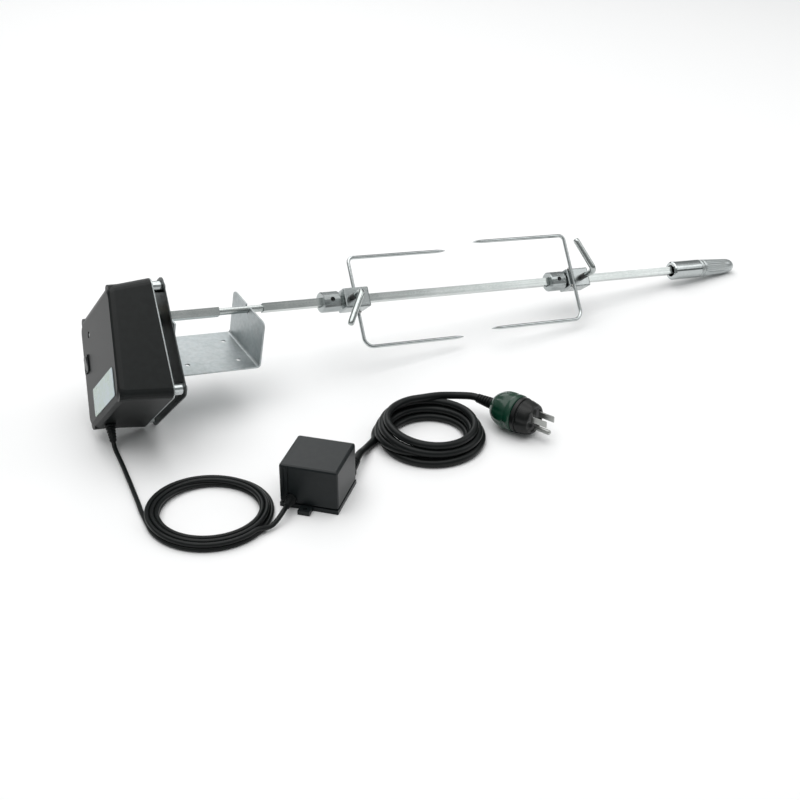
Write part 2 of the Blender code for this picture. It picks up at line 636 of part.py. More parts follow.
# ---------------------------------------------------------------- spit
def build_spit():
    """The square bar with its turned journal, and the handle on its end."""
    start, end = JOURNAL_SPAN
    rear = box_mesh("spit_rod", (start + BAR_INSERT, BAR, BAR), ((start - BAR_INSERT) / 2, 0, 0))
    rod = add("spit_rod", rear, CHROME, SPIT)
    cut(rod, rod_mesh("journal", JOURNAL_R, start - 0.001, end + 0.001, 20), SPIT, rotation=ALONG_X,
        operation="UNION")
    tip = BAR_LENGTH - BAR_INSERT
    front = box_mesh("spit_front", (tip - end, BAR, BAR), ((tip + end) / 2, 0, 0))
    cut(rod, front, SPIT, operation="UNION")
    mouth = BAR / 2 * sqrt(2) + 0.001
    bottom = tip + GAP
    sleeve_end = HANDLE_START + SLEEVE_LENGTH
    turned("handle_sleeve", [(0, sleeve_end), (SLEEVE_R - 0.0008, sleeve_end), (SLEEVE_R, sleeve_end - 0.0008),
                             (SLEEVE_R, HANDLE_START + 0.0012), (SLEEVE_R - 0.0012, HANDLE_START),
                             (mouth, HANDLE_START), (mouth, bottom), (0, bottom)],
           CHROME, SPIT, rotation=ALONG_X)
    grip_start = sleeve_end + GAP
    grip_end = grip_start + GRIP_LENGTH
    thick, thin = GRIP_R
    dome = 0.012
    arc = [(thin * cos(a), grip_end - dome + dome * sin(a)) for a in (0, pi / 10, pi / 5, 3 * pi / 10, 2 * pi / 5)]
    turned("handle_grip", [(0, grip_end), *reversed(arc), (thick, grip_start + 0.0008),
                           (thick - 0.0008, grip_start), (0, grip_start)], GREY_PLASTIC, SPIT, rotation=ALONG_X)


def square_bore(name, length):
    """The bar's clearance through a hub or collar, along the spit."""
    return box_mesh(name, (length, BAR + 2 * BAR_FIT, BAR + 2 * BAR_FIT))


def build_collar(name, start):
    """A stop collar with its set screw in a side hole."""
    collar = add(f"stop_collar_{name}", rod_mesh("collar", COLLAR_R, start, start + COLLAR_LENGTH, 24), STEEL,
                 SPIT, rotation=ALONG_X)
    bevel(collar, 0.0008)
    cut(collar, square_bore("collar_bore", 0.05), SPIT, (start + COLLAR_LENGTH / 2, 0, 0))
    middle = (start + COLLAR_LENGTH / 2, 0, 0)
    cut(collar, rod_mesh("set_hole", SET_SCREW_R + GAP, 0, 0.02, 12), SPIT, middle)
    floor = BAR / 2 + BAR_FIT + 0.0002
    screw = add(f"set_screw_{name}", rod_mesh("set_screw", SET_SCREW_R, floor, floor + 0.0038, 12), STEEL, SPIT,
                middle)
    cut(screw, rod_mesh("hex_socket", 0.0012, floor + 0.0018, floor + 0.006, 6, smooth=False), SPIT, middle)


def bent_fork(direction):
    """The fork's wire in the fork's plane: a tine, two bends, the back, and the other tine."""
    half = FORK_SPREAD / 2
    path = [(direction * TINE_LENGTH, half), (direction * (TINE_LENGTH - 0.012), half)]
    for side, radius in ((1, BEND_R[0]), (-1, BEND_R[1])):
        centre = (direction * radius, side * (half - radius))
        steps = [pi / 2 * i / 4 for i in range(5)]
        arc = [(centre[0] - direction * radius * sin(a), centre[1] + side * radius * cos(a)) for a in steps]
        path += arc if side > 0 else reversed(arc)
    path += [(direction * (TINE_LENGTH - 0.012), -half), (direction * TINE_LENGTH, -half)]
    return path


def build_fork(name, place, direction, side, thumb_turn):
    """A fork: hub on the bar, bent wire against one side of it, and the thumb screw that clamps it."""
    inner = place + direction * HUB_LEAD
    outer = inner - direction * HUB_LENGTH
    middle = (inner + outer) / 2
    thumb = place - direction * THUMB_BACK
    hub = add(f"fork_hub_{name}", box_mesh("hub", (HUB_LENGTH, HUB_SIZE, HUB_SIZE)), STEEL, SPIT, (middle, 0, 0))
    bevel(hub, 0.0014, 2)
    cut(hub, square_bore("hub_bore", 0.05), SPIT, (middle, 0, 0))
    cut(hub, rod_mesh("thumb_hole", THUMB_STEM_R + GAP, 0, 0.02, 14), SPIT, (thumb, 0, 0))
    lift = side * (HUB_SIZE / 2 + GAP + TINE_R)
    path = [(place + x, y, lift) for x, y in bent_fork(direction)]
    radii = [0.12, *[1.0] * (len(path) - 2), 0.12]
    wire = tube_mesh(f"fork_wire_{name}", path, TINE_R, 2, radii)
    add(f"fork_wire_{name}", wire, CHROME, SPIT)
    foot = BAR / 2 + BAR_FIT + 0.0002
    bend = 0.004
    arc = [(bend * (1 - cos(a)), THUMB_REACH - bend + bend * sin(a)) for a in (0, pi / 6, pi / 3, pi / 2)]
    turn = (cos(thumb_turn), sin(thumb_turn))
    stem = [(0, foot), (0, HUB_SIZE / 2 + 0.001), (0, THUMB_REACH - bend - 0.004)]
    route = [*stem, *arc, (THUMB_LENGTH - 0.001, THUMB_REACH), (THUMB_LENGTH, THUMB_REACH)]
    points = [(thumb + turn[0] * out, turn[1] * out, up) for out, up in route]
    slim = THUMB_STEM_R / THUMB_HANDLE_R
    radii = [slim, slim, slim, *[1.0] * 4, 1.0, 0.75]
    screw = tube_mesh(f"thumb_screw_{name}", points, THUMB_HANDLE_R, 3, radii)
    add(f"thumb_screw_{name}", screw, CHROME, SPIT)


# ---------------------------------------------------------------- transformer
SUPPLY = frame("transformer_frame", WORLD, TRANSFORMER_AT, (0, 0, TRANSFORMER_YAW))


def build_transformer():
    """The plug-in-line transformer: case over a base with a fixing lug, and its core and winding."""
    a, b, h = TRANSFORMER_A, TRANSFORMER_B, TRANSFORMER_H
    wall = TRANSFORMER_WALL
    low = TRANSFORMER_BASE + GAP
    case = add("transformer_case", box_mesh("case", (a, b, h - low), (0, 0, (h + low) / 2)), BLACK_PLASTIC, SUPPLY)
    bevel(case, 0.0022, 2)
    inner = h - low - wall + 0.02
    hollow = box_mesh("case_hollow", (a - 2 * wall, b - 2 * wall, inner), (0, 0, h - wall - inner / 2))
    cut(case, hollow, SUPPLY)
    for x in (-a / 2 + 0.0045, -a / 2 + 0.0085):
        cut(case, box_mesh("groove", (0.0013, 0.0016, h), (x, -b / 2, h / 2 + low - 0.002)), SUPPLY)
    base = add("transformer_base", box_mesh("base", (a, b, TRANSFORMER_BASE), (0, 0, TRANSFORMER_BASE / 2)),
               BLACK_PLASTIC, SUPPLY)
    lug = box_mesh("lug", (0.011, 0.012, TRANSFORMER_BASE), (-0.002, -b / 2 - 0.003, TRANSFORMER_BASE / 2))
    cut(base, lug, SUPPLY, operation="UNION")
    cut(base, rod_mesh("lug_hole", 0.0021, -0.01, 0.01, 12), SUPPLY, (-0.002, -b / 2 - 0.0045, 0))
    floor = TRANSFORMER_BASE + 2 * GAP
    core_h = 0.032
    core = add("transformer_core", box_mesh("core", (0.040, 0.020, core_h), (0, 0, floor + core_h / 2)), STEEL,
               SUPPLY)
    window = 0.0075
    for side in (-1, 1):
        cut(core, box_mesh("window", (window, 0.04, core_h - 0.013),
                           (side * (0.0135 - window / 2 + 0.0005), 0, floor + core_h / 2)), SUPPLY)
    leg = 0.0065 + GAP
    coil_h = core_h - 0.013 - 2 * GAP
    coil = outline_curve("transformer_winding", [rounded_rectangle(0.0262, 0.033, 0.003, steps=2),
                                                 rounded_rectangle(2 * leg, 0.020 + 2 * GAP, 0.0004, steps=1)],
                         coil_h)
    add("transformer_winding", coil, COPPER, SUPPLY, (0, 0, floor + 0.0065 + GAP))


def build_transformer_glands():
    """The two strain reliefs in the transformer's case, each on a port cut through its wall."""
    half = TRANSFORMER_B / 2
    for name, a, height, cord, length, side in (("lead_gland", LEAD_IN_A, 0.0095, LEAD_R, 0.014, -1),
                                                ("mains_gland", MAINS_OUT_A, 0.0105, MAINS_R, 0.022, 1)):
        neck = cord + 0.0006
        case = bpy.data.objects["transformer_case"]
        port = rod_mesh("port", neck + GAP, -0.006, 0.006, 14)
        spin = (-side * pi / 2, 0, 0)
        cut(case, port, SUPPLY, (a, side * half, height), spin)
        profile = [(0, length), (cord + 0.0006, length), (neck + 0.0014, 0.0021), (neck + 0.0016, GAP),
                   (neck, GAP), (neck, -0.004), (0, -0.004)]
        turned(name, profile, RUBBER, SUPPLY, (a, side * half, height), spin, 16)


# ---------------------------------------------------------------- cords
# Hand-chosen route points, in plan, from exit to coil, coil to transformer, and so on.
LEAD_ENTRY = Vector((-0.2944, -0.0700, 0.0))
# share of the way from the gland to the coil, sideways, height
LEAD_TO_COIL = [(0.10, -0.0001, 0.0034), (0.15, 0.0003, 0.0025), (0.22, 0.0005, 0.0024), (0.32, 0.0007, 0.0024),
                (0.43, 0.0007, 0.0024), (0.56, 0.0007, 0.0024), (0.70, 0.0006, 0.0024), (0.81, 0.0005, 0.0024),
                (0.91, 0.0003, 0.0024), (1.0, 0.0, 0.0024)]
COIL_TO_TRANSFORMER = [(-0.2032, -0.1472, 0.0040), (-0.1980, -0.1447, 0.0060)]
TRANSFORMER_TO_COIL = [(-0.0832, -0.0815, 0.0077), (-0.0772, -0.0750, 0.0052), (-0.0725, -0.0690, 0.0040),
                       (-0.0707, -0.0650, 0.0039)]
COIL_TO_PLUG = [(0.0345, -0.0418, 0.0150), (0.0410, -0.0465, 0.0172)]


def build_lead():
    """The low-voltage lead: motor to coil, the coil, and coil to transformer."""
    root = motor_point(gland_root(), (0, 0, -0.0160 - GAP))
    down = motor_point(gland_root(), (0, 0, -0.0210))
    run = [Vector((*root.lerp(LEAD_ENTRY, share).xy, height)) + Vector((aside, 0, 0))
           for share, aside, height in LEAD_TO_COIL]
    first = [root, *smooth_route([down, *run], 0.010)]
    add("lead_tube_motor", tube_mesh("lead_tube_motor", first, LEAD_R), RUBBER, WORLD)
    turned("lead_coil", ring_profile(*LEAD_COIL_R, 0, LEAD_COIL_H, 0.002), RUBBER, WORLD, LEAD_COIL_AT, steps=40)
    tip = supply_point(LEAD_IN_A, -TRANSFORMER_B / 2 - 0.014 - GAP, 0.0095)
    near = supply_point(LEAD_IN_A, -TRANSFORMER_B / 2 - 0.022, 0.0093)
    last = [*smooth_route([*COIL_TO_TRANSFORMER, near], 0.008), tip]
    add("lead_tube_transformer", tube_mesh("lead_tube_transformer", last, LEAD_R), RUBBER, WORLD)


def build_mains():
    """The mains lead: transformer to coil, the coil, and coil to plug."""
    tip = supply_point(MAINS_OUT_A, TRANSFORMER_B / 2 + 0.022 + GAP, 0.0105)
    near = supply_point(MAINS_OUT_A, TRANSFORMER_B / 2 + 0.032, 0.0103)
    first = [tip, *smooth_route([near, *TRANSFORMER_TO_COIL], 0.010)]
    add("mains_tube_transformer", tube_mesh("mains_tube_transformer", first, MAINS_R, 3), RUBBER, WORLD)
    turned("mains_coil", ring_profile(*MAINS_COIL_R, 0, MAINS_COIL_H, 0.004), RUBBER, WORLD, MAINS_COIL_AT,
           steps=40)
    axis = Vector((cos(PLUG_YAW), sin(PLUG_YAW), 0))
    relief = PLUG_REAR - axis * (RELIEF_LENGTH + GAP)
    near = relief - axis * 0.008
    last = [*smooth_route([*COIL_TO_PLUG, near], 0.010), relief]
    add("mains_tube_plug", tube_mesh("mains_tube_plug", last, MAINS_R, 3), RUBBER, WORLD)


def motor_point(root, offset):
    """The plan point of a place in the motor's own frame."""
    local = Vector(root) + Vector(offset)
    local.rotate(Euler((-MOTOR_ROLL, 0, 0)))
    local.rotate(Euler((0, SPIT_TILT, 0)))
    return SPIT_ROOT + local


def supply_point(a, b, height):
    """The plan point of a place in the transformer's own frame."""
    local = Vector((a, b, height))
    local.rotate(Euler((0, 0, TRANSFORMER_YAW)))
    return TRANSFORMER_AT + local


# ---------------------------------------------------------------- plug
PLUG = frame("plug_frame", WORLD, PLUG_REAR, (0, 0, PLUG_YAW))


def build_plug():
    """The moulded plug: strain relief, body, pin face, two blades and the earth pin."""
    neck = MAINS_R + 0.0022
    turned("plug_relief", [(0, -GAP), (neck, -GAP), (MAINS_R + 0.0006, -RELIEF_LENGTH), (0, -RELIEF_LENGTH)],
           RUBBER, PLUG, rotation=ALONG_X, steps=16)
    r, length = PLUG_R, PLUG_LENGTH
    turned("plug_body", [(0, length), (r - 0.001, length), (r, length - 0.001), (r, length * 0.60),
                         (r * 0.93, length * 0.36), (r * 0.76, length * 0.14), (r * 0.50, 0), (0, 0)],
           GREEN_PLASTIC, PLUG, rotation=ALONG_X, steps=28)
    start = length + GAP
    end = start + FACE_LENGTH
    turned("plug_face", [(0, end), (r - 0.0045, end), (r - 0.003, end - 0.0015), (r - 0.0008, start + 0.004),
                         (r - 0.0008, start), (0, start)], BLACK_PLASTIC, PLUG, rotation=ALONG_X, steps=28)
    blade_length, blade_width, blade_t = BLADE
    for index, side in enumerate((-1, 1), 1):
        spot = (end + GAP + blade_length / 2, side * BLADE_SPREAD / 2, 0.004)
        blade = add(f"plug_blade_{index}", box_mesh("blade", (blade_length, blade_t, blade_width)), BRASS, PLUG,
                    spot)
        bevel(blade, 0.0004)
    pin = rod_mesh("plug_earth_pin", EARTH_R, end + GAP, end + GAP + 0.0175, 14)
    earth = add("plug_earth_pin", pin, BRASS, PLUG, (0, 0, -0.0075), ALONG_X)
    bevel(earth, 0.0008)


build_plates()
build_cover()
build_switch()
build_drive()
build_gear_frame()
build_motor_gland()
build_bracket()
build_spit()
build_collar("left", LEFT_COLLAR)
build_collar("right", RIGHT_COLLAR)
build_fork("left", LEFT_FORK, 1, -1, LEFT_THUMB_TURN)
build_fork("right", RIGHT_FORK, -1, 1, RIGHT_THUMB_TURN)
build_transformer()
build_transformer_glands()
build_lead()
build_mains()
build_plug()
bpy.context.view_layer.update()
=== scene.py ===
"""Looks for the rotisserie kit: wound cords, reliefs, grip, plug, finishes, studio and camera.

Lengths are metres in the part's own frame, with +Z up and the table at z = 0.
"""
import json
import logging
from dataclasses import dataclass, field
from enum import Enum
from math import cos, pi, radians, sin, sqrt
from typing import Callable, Sequence

import bmesh
import bpy
from mathutils import Matrix, Vector, noise

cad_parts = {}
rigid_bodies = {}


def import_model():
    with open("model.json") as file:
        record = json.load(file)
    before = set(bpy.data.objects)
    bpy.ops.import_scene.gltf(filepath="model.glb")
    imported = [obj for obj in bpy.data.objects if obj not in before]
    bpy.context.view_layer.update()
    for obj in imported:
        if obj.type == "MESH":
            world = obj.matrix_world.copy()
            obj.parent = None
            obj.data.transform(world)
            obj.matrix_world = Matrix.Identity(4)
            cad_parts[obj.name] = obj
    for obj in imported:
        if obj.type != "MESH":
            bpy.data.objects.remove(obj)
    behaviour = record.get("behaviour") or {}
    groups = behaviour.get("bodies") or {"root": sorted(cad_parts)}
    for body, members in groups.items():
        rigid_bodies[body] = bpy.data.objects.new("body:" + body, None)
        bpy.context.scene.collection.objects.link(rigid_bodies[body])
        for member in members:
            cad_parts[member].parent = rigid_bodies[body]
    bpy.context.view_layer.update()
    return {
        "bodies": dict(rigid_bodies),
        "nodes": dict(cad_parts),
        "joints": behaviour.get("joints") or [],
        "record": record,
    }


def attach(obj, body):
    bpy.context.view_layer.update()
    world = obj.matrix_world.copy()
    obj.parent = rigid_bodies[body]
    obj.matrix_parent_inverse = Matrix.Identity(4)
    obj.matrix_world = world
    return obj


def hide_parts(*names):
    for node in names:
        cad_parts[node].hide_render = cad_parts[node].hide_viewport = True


LOG = logging.getLogger("rotisserie_kit")
Point = tuple[float, float, float]
Colour = tuple[float, float, float]
Profile = list[tuple[float, float]]
Value = float | Sequence[float] | bpy.types.NodeSocket

# Routes are given in plan, as the cords were laid; the plan's origin lies here in the part's frame.
PLAN = Vector((-0.1014, 0.0038, 0.0))
# Where the plug's body begins, in plan, and the way the plug points.
PLUG_REAR = (0.0607, -0.0800, 0.0188)
PLUG_YAW = radians(-67.5)
# The transformer's middle in plan, its turn and its half width, and how far across and up each gland is.
TRANSFORMER_AT = (-0.1447, -0.1160)
TRANSFORMER_YAW = radians(-44)
TRANSFORMER_HALF = 0.0265
LEAD_GLAND = (-0.0160, 0.0095)
MAINS_GLAND = (0.0200, 0.0105)
# The root of the motor's gland, in the motor's frame.
MOTOR_GLAND = Vector((-0.0500, 0.0380, -0.0887))


class Body(str, Enum):
    """The bodies that pieces ride on."""

    MOTOR = "motor_unit"
    SPIT = "spit"
    FORK_LEFT = "fork_left"
    FORK_RIGHT = "fork_right"
    SCREW_LEFT = "fork_left_screw"
    SCREW_RIGHT = "fork_right_screw"


class Sense(Enum):
    """Which way a coil is wound, seen from above."""

    CLOCKWISE = -1
    ANTICLOCKWISE = 1


# ---------------------------------------------------------------- shader node groups
class Shade:
    """A small helper that adds and links nodes in one tree."""

    def __init__(self, tree: bpy.types.NodeTree) -> None:
        """Keep the tree."""
        self.tree = tree

    def feed(self, target: bpy.types.NodeSocket, value: Value) -> None:
        """Link a socket's value, or set it.

        Args:
            target: the input to fill.
            value: another node's output, or a constant.
        """
        if isinstance(value, bpy.types.NodeSocket):
            self.tree.links.new(value, target)
        else:
            target.default_value = value

    def add(self, kind: str, **values: object) -> bpy.types.Node:
        """Add a node.

        Args:
            kind: the node's type.
            values: attributes by name, and sockets by "in_" and their name or number.

        Returns:
            The new node.
        """
        node = self.tree.nodes.new(kind)
        for key, value in values.items():
            if key.startswith("in_"):
                name = key[3:]
                self.feed(node.inputs[int(name) if name.isdigit() else name.replace("_", " ")], value)
            else:
                setattr(node, key, value)
        return node

    def math(self, operation: str, *values: Value, clamp: bool = False) -> bpy.types.NodeSocket:
        """Add a sum.

        Args:
            operation: which sum.
            values: what goes into it, in order.
            clamp: whether the answer is kept between 0 and 1.

        Returns:
            Its answer.
        """
        node = self.add("ShaderNodeMath", operation=operation, use_clamp=clamp)
        for target, value in zip(node.inputs, values):
            self.feed(target, value)
        return node.outputs[0]

    def spread(self, value: Value, low: Value = 0.0, high: Value = 1.0,
               to_low: Value = 0.0, to_high: Value = 1.0) -> bpy.types.NodeSocket:
        """Stretch a value from one range to another.

        Args:
            value: what is stretched.
            low: where the old range begins.
            high: where it ends.
            to_low: where the new range begins.
            to_high: where it ends.

        Returns:
            The stretched value.
        """
        node = self.add("ShaderNodeMapRange", in_0=value, in_1=low, in_2=high, in_3=to_low, in_4=to_high)
        return node.outputs[0]

    def mix(self, factor: Value, first: Value, second: Value, blend: str = "MIX") -> bpy.types.NodeSocket:
        """Mix two colours.

        Args:
            factor: the second colour's share.
            first: the first colour.
            second: the second colour.
            blend: how they mix.

        Returns:
            The mixed colour.
        """
        node = self.add("ShaderNodeMix", data_type="RGBA", blend_type=blend, in_0=factor, in_6=first,
                        in_7=second)
        return node.outputs[2]

    def noise(self, place: Value, scale: Value, detail: float, rough: float = 0.5) -> bpy.types.NodeSocket:
        """Add a noise.

        Args:
            place: where it is looked up.
            scale: its cells in a metre.
            detail: its finer layers.
            rough: how strong those are.

        Returns:
            Its value.
        """
        return self.add("ShaderNodeTexNoise", in_Vector=place, in_Scale=scale, in_Detail=detail,
                        in_Roughness=rough).outputs["Fac"]


def new_group(name: str, inputs: Sequence[tuple[str, str, object]],
              outputs: Sequence[tuple[str, str]]) -> tuple[Shade, bpy.types.Node, bpy.types.Node]:
    """Start a shader group.

    Args:
        name: the group's name.
        inputs: (name, kind, default) of each input; kind is Float or Color.
        outputs: (name, kind) of each output.

    Returns:
        The tree's helper, its input node and its output node.
    """
    tree = bpy.data.node_groups.new(name, "ShaderNodeTree")
    for label, kind, default in inputs:
        socket = tree.interface.new_socket(name=label, in_out="INPUT", socket_type=f"NodeSocket{kind}")
        socket.default_value = default
    for label, kind in outputs:
        tree.interface.new_socket(name=label, in_out="OUTPUT", socket_type=f"NodeSocket{kind}")
    shade = Shade(tree)
    return shade, shade.add("NodeGroupInput"), shade.add("NodeGroupOutput")


def grain_group() -> bpy.types.NodeTree:
    """The moulded or cast grain that every finish has.

    Returns:
        The group, which puts out a colour, a roughness and a height.
    """
    shade, given, out = new_group(
        "surface_grain",
        [("Cells", "Float", 900.0), ("Low", "Color", (0, 0, 0, 1)), ("High", "Color", (1, 1, 1, 1)),
         ("Smoothest", "Float", 0.3), ("Roughest", "Float", 0.5)],
        [("Color", "Color"), ("Roughness", "Float"), ("Height", "Float")])
    broad_share, fine_share = 0.65, 0.35
    place = shade.add("ShaderNodeTexCoord").outputs["Object"]
    broad = shade.noise(place, 22.0, 4.0, 0.6)
    fine = shade.noise(place, given.outputs["Cells"], 2.0)
    both = shade.math("MULTIPLY_ADD", fine, fine_share, shade.math("MULTIPLY", broad, broad_share))
    tone = shade.spread(both, 0.36, 0.64)
    shade.feed(out.inputs["Color"], shade.mix(tone, given.outputs["Low"], given.outputs["High"]))
    shade.feed(out.inputs["Roughness"], shade.spread(broad, to_low=given.outputs["Smoothest"],
                                                     to_high=given.outputs["Roughest"]))
    shade.feed(out.inputs["Height"], fine)
    return shade.tree


def wear_group() -> bpy.types.NodeTree:
    """Edges rubbed to another colour, and a little dust on what faces up.

    Returns:
        The group, which puts out a colour.
    """
    shade, given, out = new_group(
        "edge_wear",
        [("Color", "Color", (0, 0, 0, 1)), ("Worn", "Color", (0.3, 0.3, 0.3, 1)), ("Wear", "Float", 0.3),
         ("Dust Color", "Color", (0.5, 0.48, 0.45, 1)), ("Dust", "Float", 0.05)],
        [("Color", "Color")])
    shape = shade.add("ShaderNodeNewGeometry")
    patches = shade.noise(shade.add("ShaderNodeTexCoord").outputs["Object"], 160.0, 5.0)
    edge = shade.spread(shape.outputs["Pointiness"], 0.52, 0.62)
    torn = shade.spread(patches, 0.40, 0.60)
    rubbed = shade.math("MULTIPLY", shade.math("MULTIPLY", edge, torn), given.outputs["Wear"], clamp=True)
    worn = shade.mix(rubbed, given.outputs["Color"], given.outputs["Worn"])
    facing = shade.add("ShaderNodeSeparateXYZ", in_0=shape.outputs["Normal"])
    settled = shade.math("MULTIPLY", shade.spread(facing.outputs["Z"], 0.2, 1.0), patches)
    layer = shade.math("MULTIPLY", settled, given.outputs["Dust"], clamp=True)
    shade.feed(out.inputs["Color"], shade.mix(layer, worn, given.outputs["Dust Color"]))
    return shade.tree


def drawn_group(tilt: float) -> bpy.types.NodeTree:
    """Fine drawn lines along the spit, as rolled and plated bar has.

    Args:
        tilt: how far the spit slopes.

    Returns:
        The group, which puts out a value and a height.
    """
    shade, given, out = new_group("drawn_lines", [("Contrast", "Float", 1.0)],
                                  [("Lines", "Float"), ("Height", "Float")])
    middle = 0.5
    place = shade.add("ShaderNodeTexCoord").outputs["Object"]
    turn = shade.add("ShaderNodeMapping", in_Vector=place, in_Rotation=(0.0, -tilt, 0.0)).outputs[0]
    stretch = shade.add("ShaderNodeMapping", in_Vector=turn, in_Scale=(9.0, 700.0, 700.0)).outputs[0]
    lines = shade.noise(stretch, 1.0, 3.0, 0.6)
    scaled = shade.math("MULTIPLY", shade.math("SUBTRACT", lines, middle), given.outputs["Contrast"])
    shade.feed(out.inputs["Lines"], shade.math("ADD", scaled, middle, clamp=True))
    shade.feed(out.inputs["Height"], lines)
    return shade.tree


# ---------------------------------------------------------------- finishes
def rgba(colour: Colour) -> tuple[float, float, float, float]:
    """The colour with full alpha."""
    return (*colour, 1.0)


@dataclass(frozen=True)
class Finish:
    """A moulded, sheet or plated finish.

    low and high are the two ends of its colour, smooth and rough of its roughness; cells is the grain's
    count in a metre, and depth the grain's height.
    """

    name: str
    low: Colour
    high: Colour
    smooth: float
    rough: float
    metallic: float = 0.0
    cells: float = 1500.0
    depth: float = 0.00004
    worn: Colour = (0.30, 0.30, 0.30)
    wear: float = 0.25
    dust: float = 0.05
    specular: float = 0.5
    drawn: float = 0.0
    coat: float = 0.0
    coat_rough: float = 0.12
    bump: float = 0.5
    drawn_tones: tuple[float, float] = (0.72, 1.12)

    def build(self, groups: dict[str, bpy.types.NodeTree]) -> bpy.types.Material:
        """Make the material.

        Args:
            groups: the shader groups by name.

        Returns:
            The material.
        """
        material = bpy.data.materials.new(self.name)
        material.use_nodes = True
        shade = Shade(material.node_tree)
        shader = material.node_tree.nodes["Principled BSDF"]
        shader.inputs["Metallic"].default_value = self.metallic
        shader.inputs["Specular IOR Level"].default_value = self.specular
        shader.inputs["Coat Weight"].default_value = self.coat
        shader.inputs["Coat Roughness"].default_value = self.coat_rough
        grain = shade.add("ShaderNodeGroup", node_tree=groups["grain"], in_Cells=self.cells,
                          in_Low=rgba(self.low), in_High=rgba(self.high), in_Smoothest=self.smooth,
                          in_Roughest=self.rough)
        wear = shade.add("ShaderNodeGroup", node_tree=groups["wear"], in_Color=grain.outputs["Color"],
                         in_Worn=rgba(self.worn), in_Wear=self.wear, in_Dust=self.dust)
        colour, height = wear.outputs["Color"], grain.outputs["Height"]
        if self.drawn:
            lines = shade.add("ShaderNodeGroup", node_tree=groups["drawn"], in_Contrast=self.drawn)
            dark, light = self.drawn_tones
            tone = shade.spread(lines.outputs["Lines"], to_low=dark, to_high=light)
            colour, height = shade.mix(1.0, colour, tone, "MULTIPLY"), lines.outputs["Height"]
        bump = shade.add("ShaderNodeBump", in_Strength=self.bump, in_Distance=self.depth, in_Height=height)
        shade.feed(shader.inputs["Base Color"], colour)
        shade.feed(shader.inputs["Roughness"], grain.outputs["Roughness"])
        shade.feed(shader.inputs["Normal"], bump.outputs[0])
        return material


class Look(Enum):
    COVER = Finish("cover_black", (0.0046, 0.0060, 0.0059), (0.0051, 0.0066, 0.0065), 0.375, 0.395,
                   cells=2200.0, depth=0.00005, worn=(0.05, 0.07, 0.07), wear=0.04, dust=0.006, specular=0.24)
    BLACK = Finish("moulded_black", (0.0060, 0.0086, 0.0095), (0.0068, 0.0097, 0.0106), 0.35, 0.375,
                   cells=1800.0, worn=(0.06, 0.08, 0.08), wear=0.04, dust=0.008, specular=0.26)
    GRIP = Finish("grip_grey", (0.40, 0.43, 0.43), (0.54, 0.57, 0.57), 0.30, 0.44, 0.85, cells=1600.0,
                  worn=(0.7, 0.7, 0.7))
    ROCKER = Finish("rocker_black", (0.003, 0.003, 0.003), (0.006, 0.006, 0.006), 0.2, 0.3, specular=0.3)
    PLUG = Finish("plug_green", (0.003, 0.034, 0.018), (0.005, 0.046, 0.026), 0.16, 0.24, cells=900.0,
                  worn=(0.03, 0.10, 0.06), specular=0.36, coat=0.08)
    CAP = Finish("cap_black", (0.004, 0.005, 0.005), (0.007, 0.008, 0.008), 0.26, 0.36, cells=900.0,
                 worn=(0.05, 0.05, 0.05), specular=0.22)
    JACKET = Finish("cord_jacket", (0.0042, 0.0054, 0.0054), (0.0058, 0.0074, 0.0074), 0.30, 0.38,
                    cells=1100.0, worn=(0.03, 0.03, 0.03), wear=0.1, dust=0.006, specular=0.20)
    CHROME = Finish("chrome_plate", (0.43, 0.465, 0.455), (0.56, 0.59, 0.58), 0.14, 0.24, 1.0, cells=700.0,
                    depth=0.00001, worn=(0.4, 0.4, 0.4), wear=0.1, dust=0.02, drawn=1.2)
    BRIGHT = Finish("bright_chrome", (0.42, 0.45, 0.45), (0.56, 0.59, 0.59), 0.10, 0.18, 1.0, cells=500.0,
                    depth=0.00001, wear=0.05, dust=0.01)
    STEEL = Finish("bright_steel", (0.36, 0.39, 0.39), (0.50, 0.53, 0.53), 0.20, 0.32, 1.0, cells=2000.0,
                   depth=0.00002, wear=0.2, dust=0.02)
    # shield_steel_dark_reflection is far darker than the other steel: its colour is a painted dark reflection
    # of the polished plate.
    SHIELD_DARK_REFLECTION = Finish("shield_steel_dark_reflection", (0.05, 0.055, 0.055), (0.10, 0.11, 0.11), 0.26, 0.4, 1.0, cells=1200.0,
                    depth=0.00002, worn=(0.5, 0.52, 0.52), wear=0.05, dust=0.01)
    ZINC = Finish("galvanised", (0.36, 0.395, 0.40), (0.52, 0.56, 0.57), 0.36, 0.52, 1.0, cells=260.0,
                  depth=0.00003, worn=(0.6, 0.6, 0.6), wear=0.3, dust=0.04)
    # Near black for threads: painted shade of the thumb screws' thread grooves; the set screws take the same
    # colour.
    THREAD_SHADE = Finish("thread_groove_shade", (0.03, 0.03, 0.03), (0.09, 0.09, 0.09), 0.3, 0.5, 0.6)
    WELD = Finish("weld", (0.22, 0.22, 0.22), (0.42, 0.41, 0.40), 0.3, 0.5, 1.0, cells=700.0, depth=0.0002)
    BRASS = Finish("pin_plate", (0.34, 0.35, 0.34), (0.46, 0.47, 0.45), 0.24, 0.36, 1.0, wear=0.2)
    BRONZE = Finish("bush_bronze", (0.42, 0.28, 0.12), (0.60, 0.42, 0.20), 0.3, 0.4, 1.0)
    COPPER = Finish("winding_copper", (0.45, 0.18, 0.08), (0.70, 0.34, 0.18), 0.3, 0.42, 1.0)
    NYLON = Finish("gear_nylon", (0.70, 0.67, 0.58), (0.82, 0.80, 0.72), 0.4, 0.5)
    FILM = Finish("label_film", (0.46, 0.58, 0.47), (0.56, 0.66, 0.72), 0.22, 0.34, cells=300.0,
                  worn=(0.6, 0.6, 0.6), wear=0.1, specular=0.6)


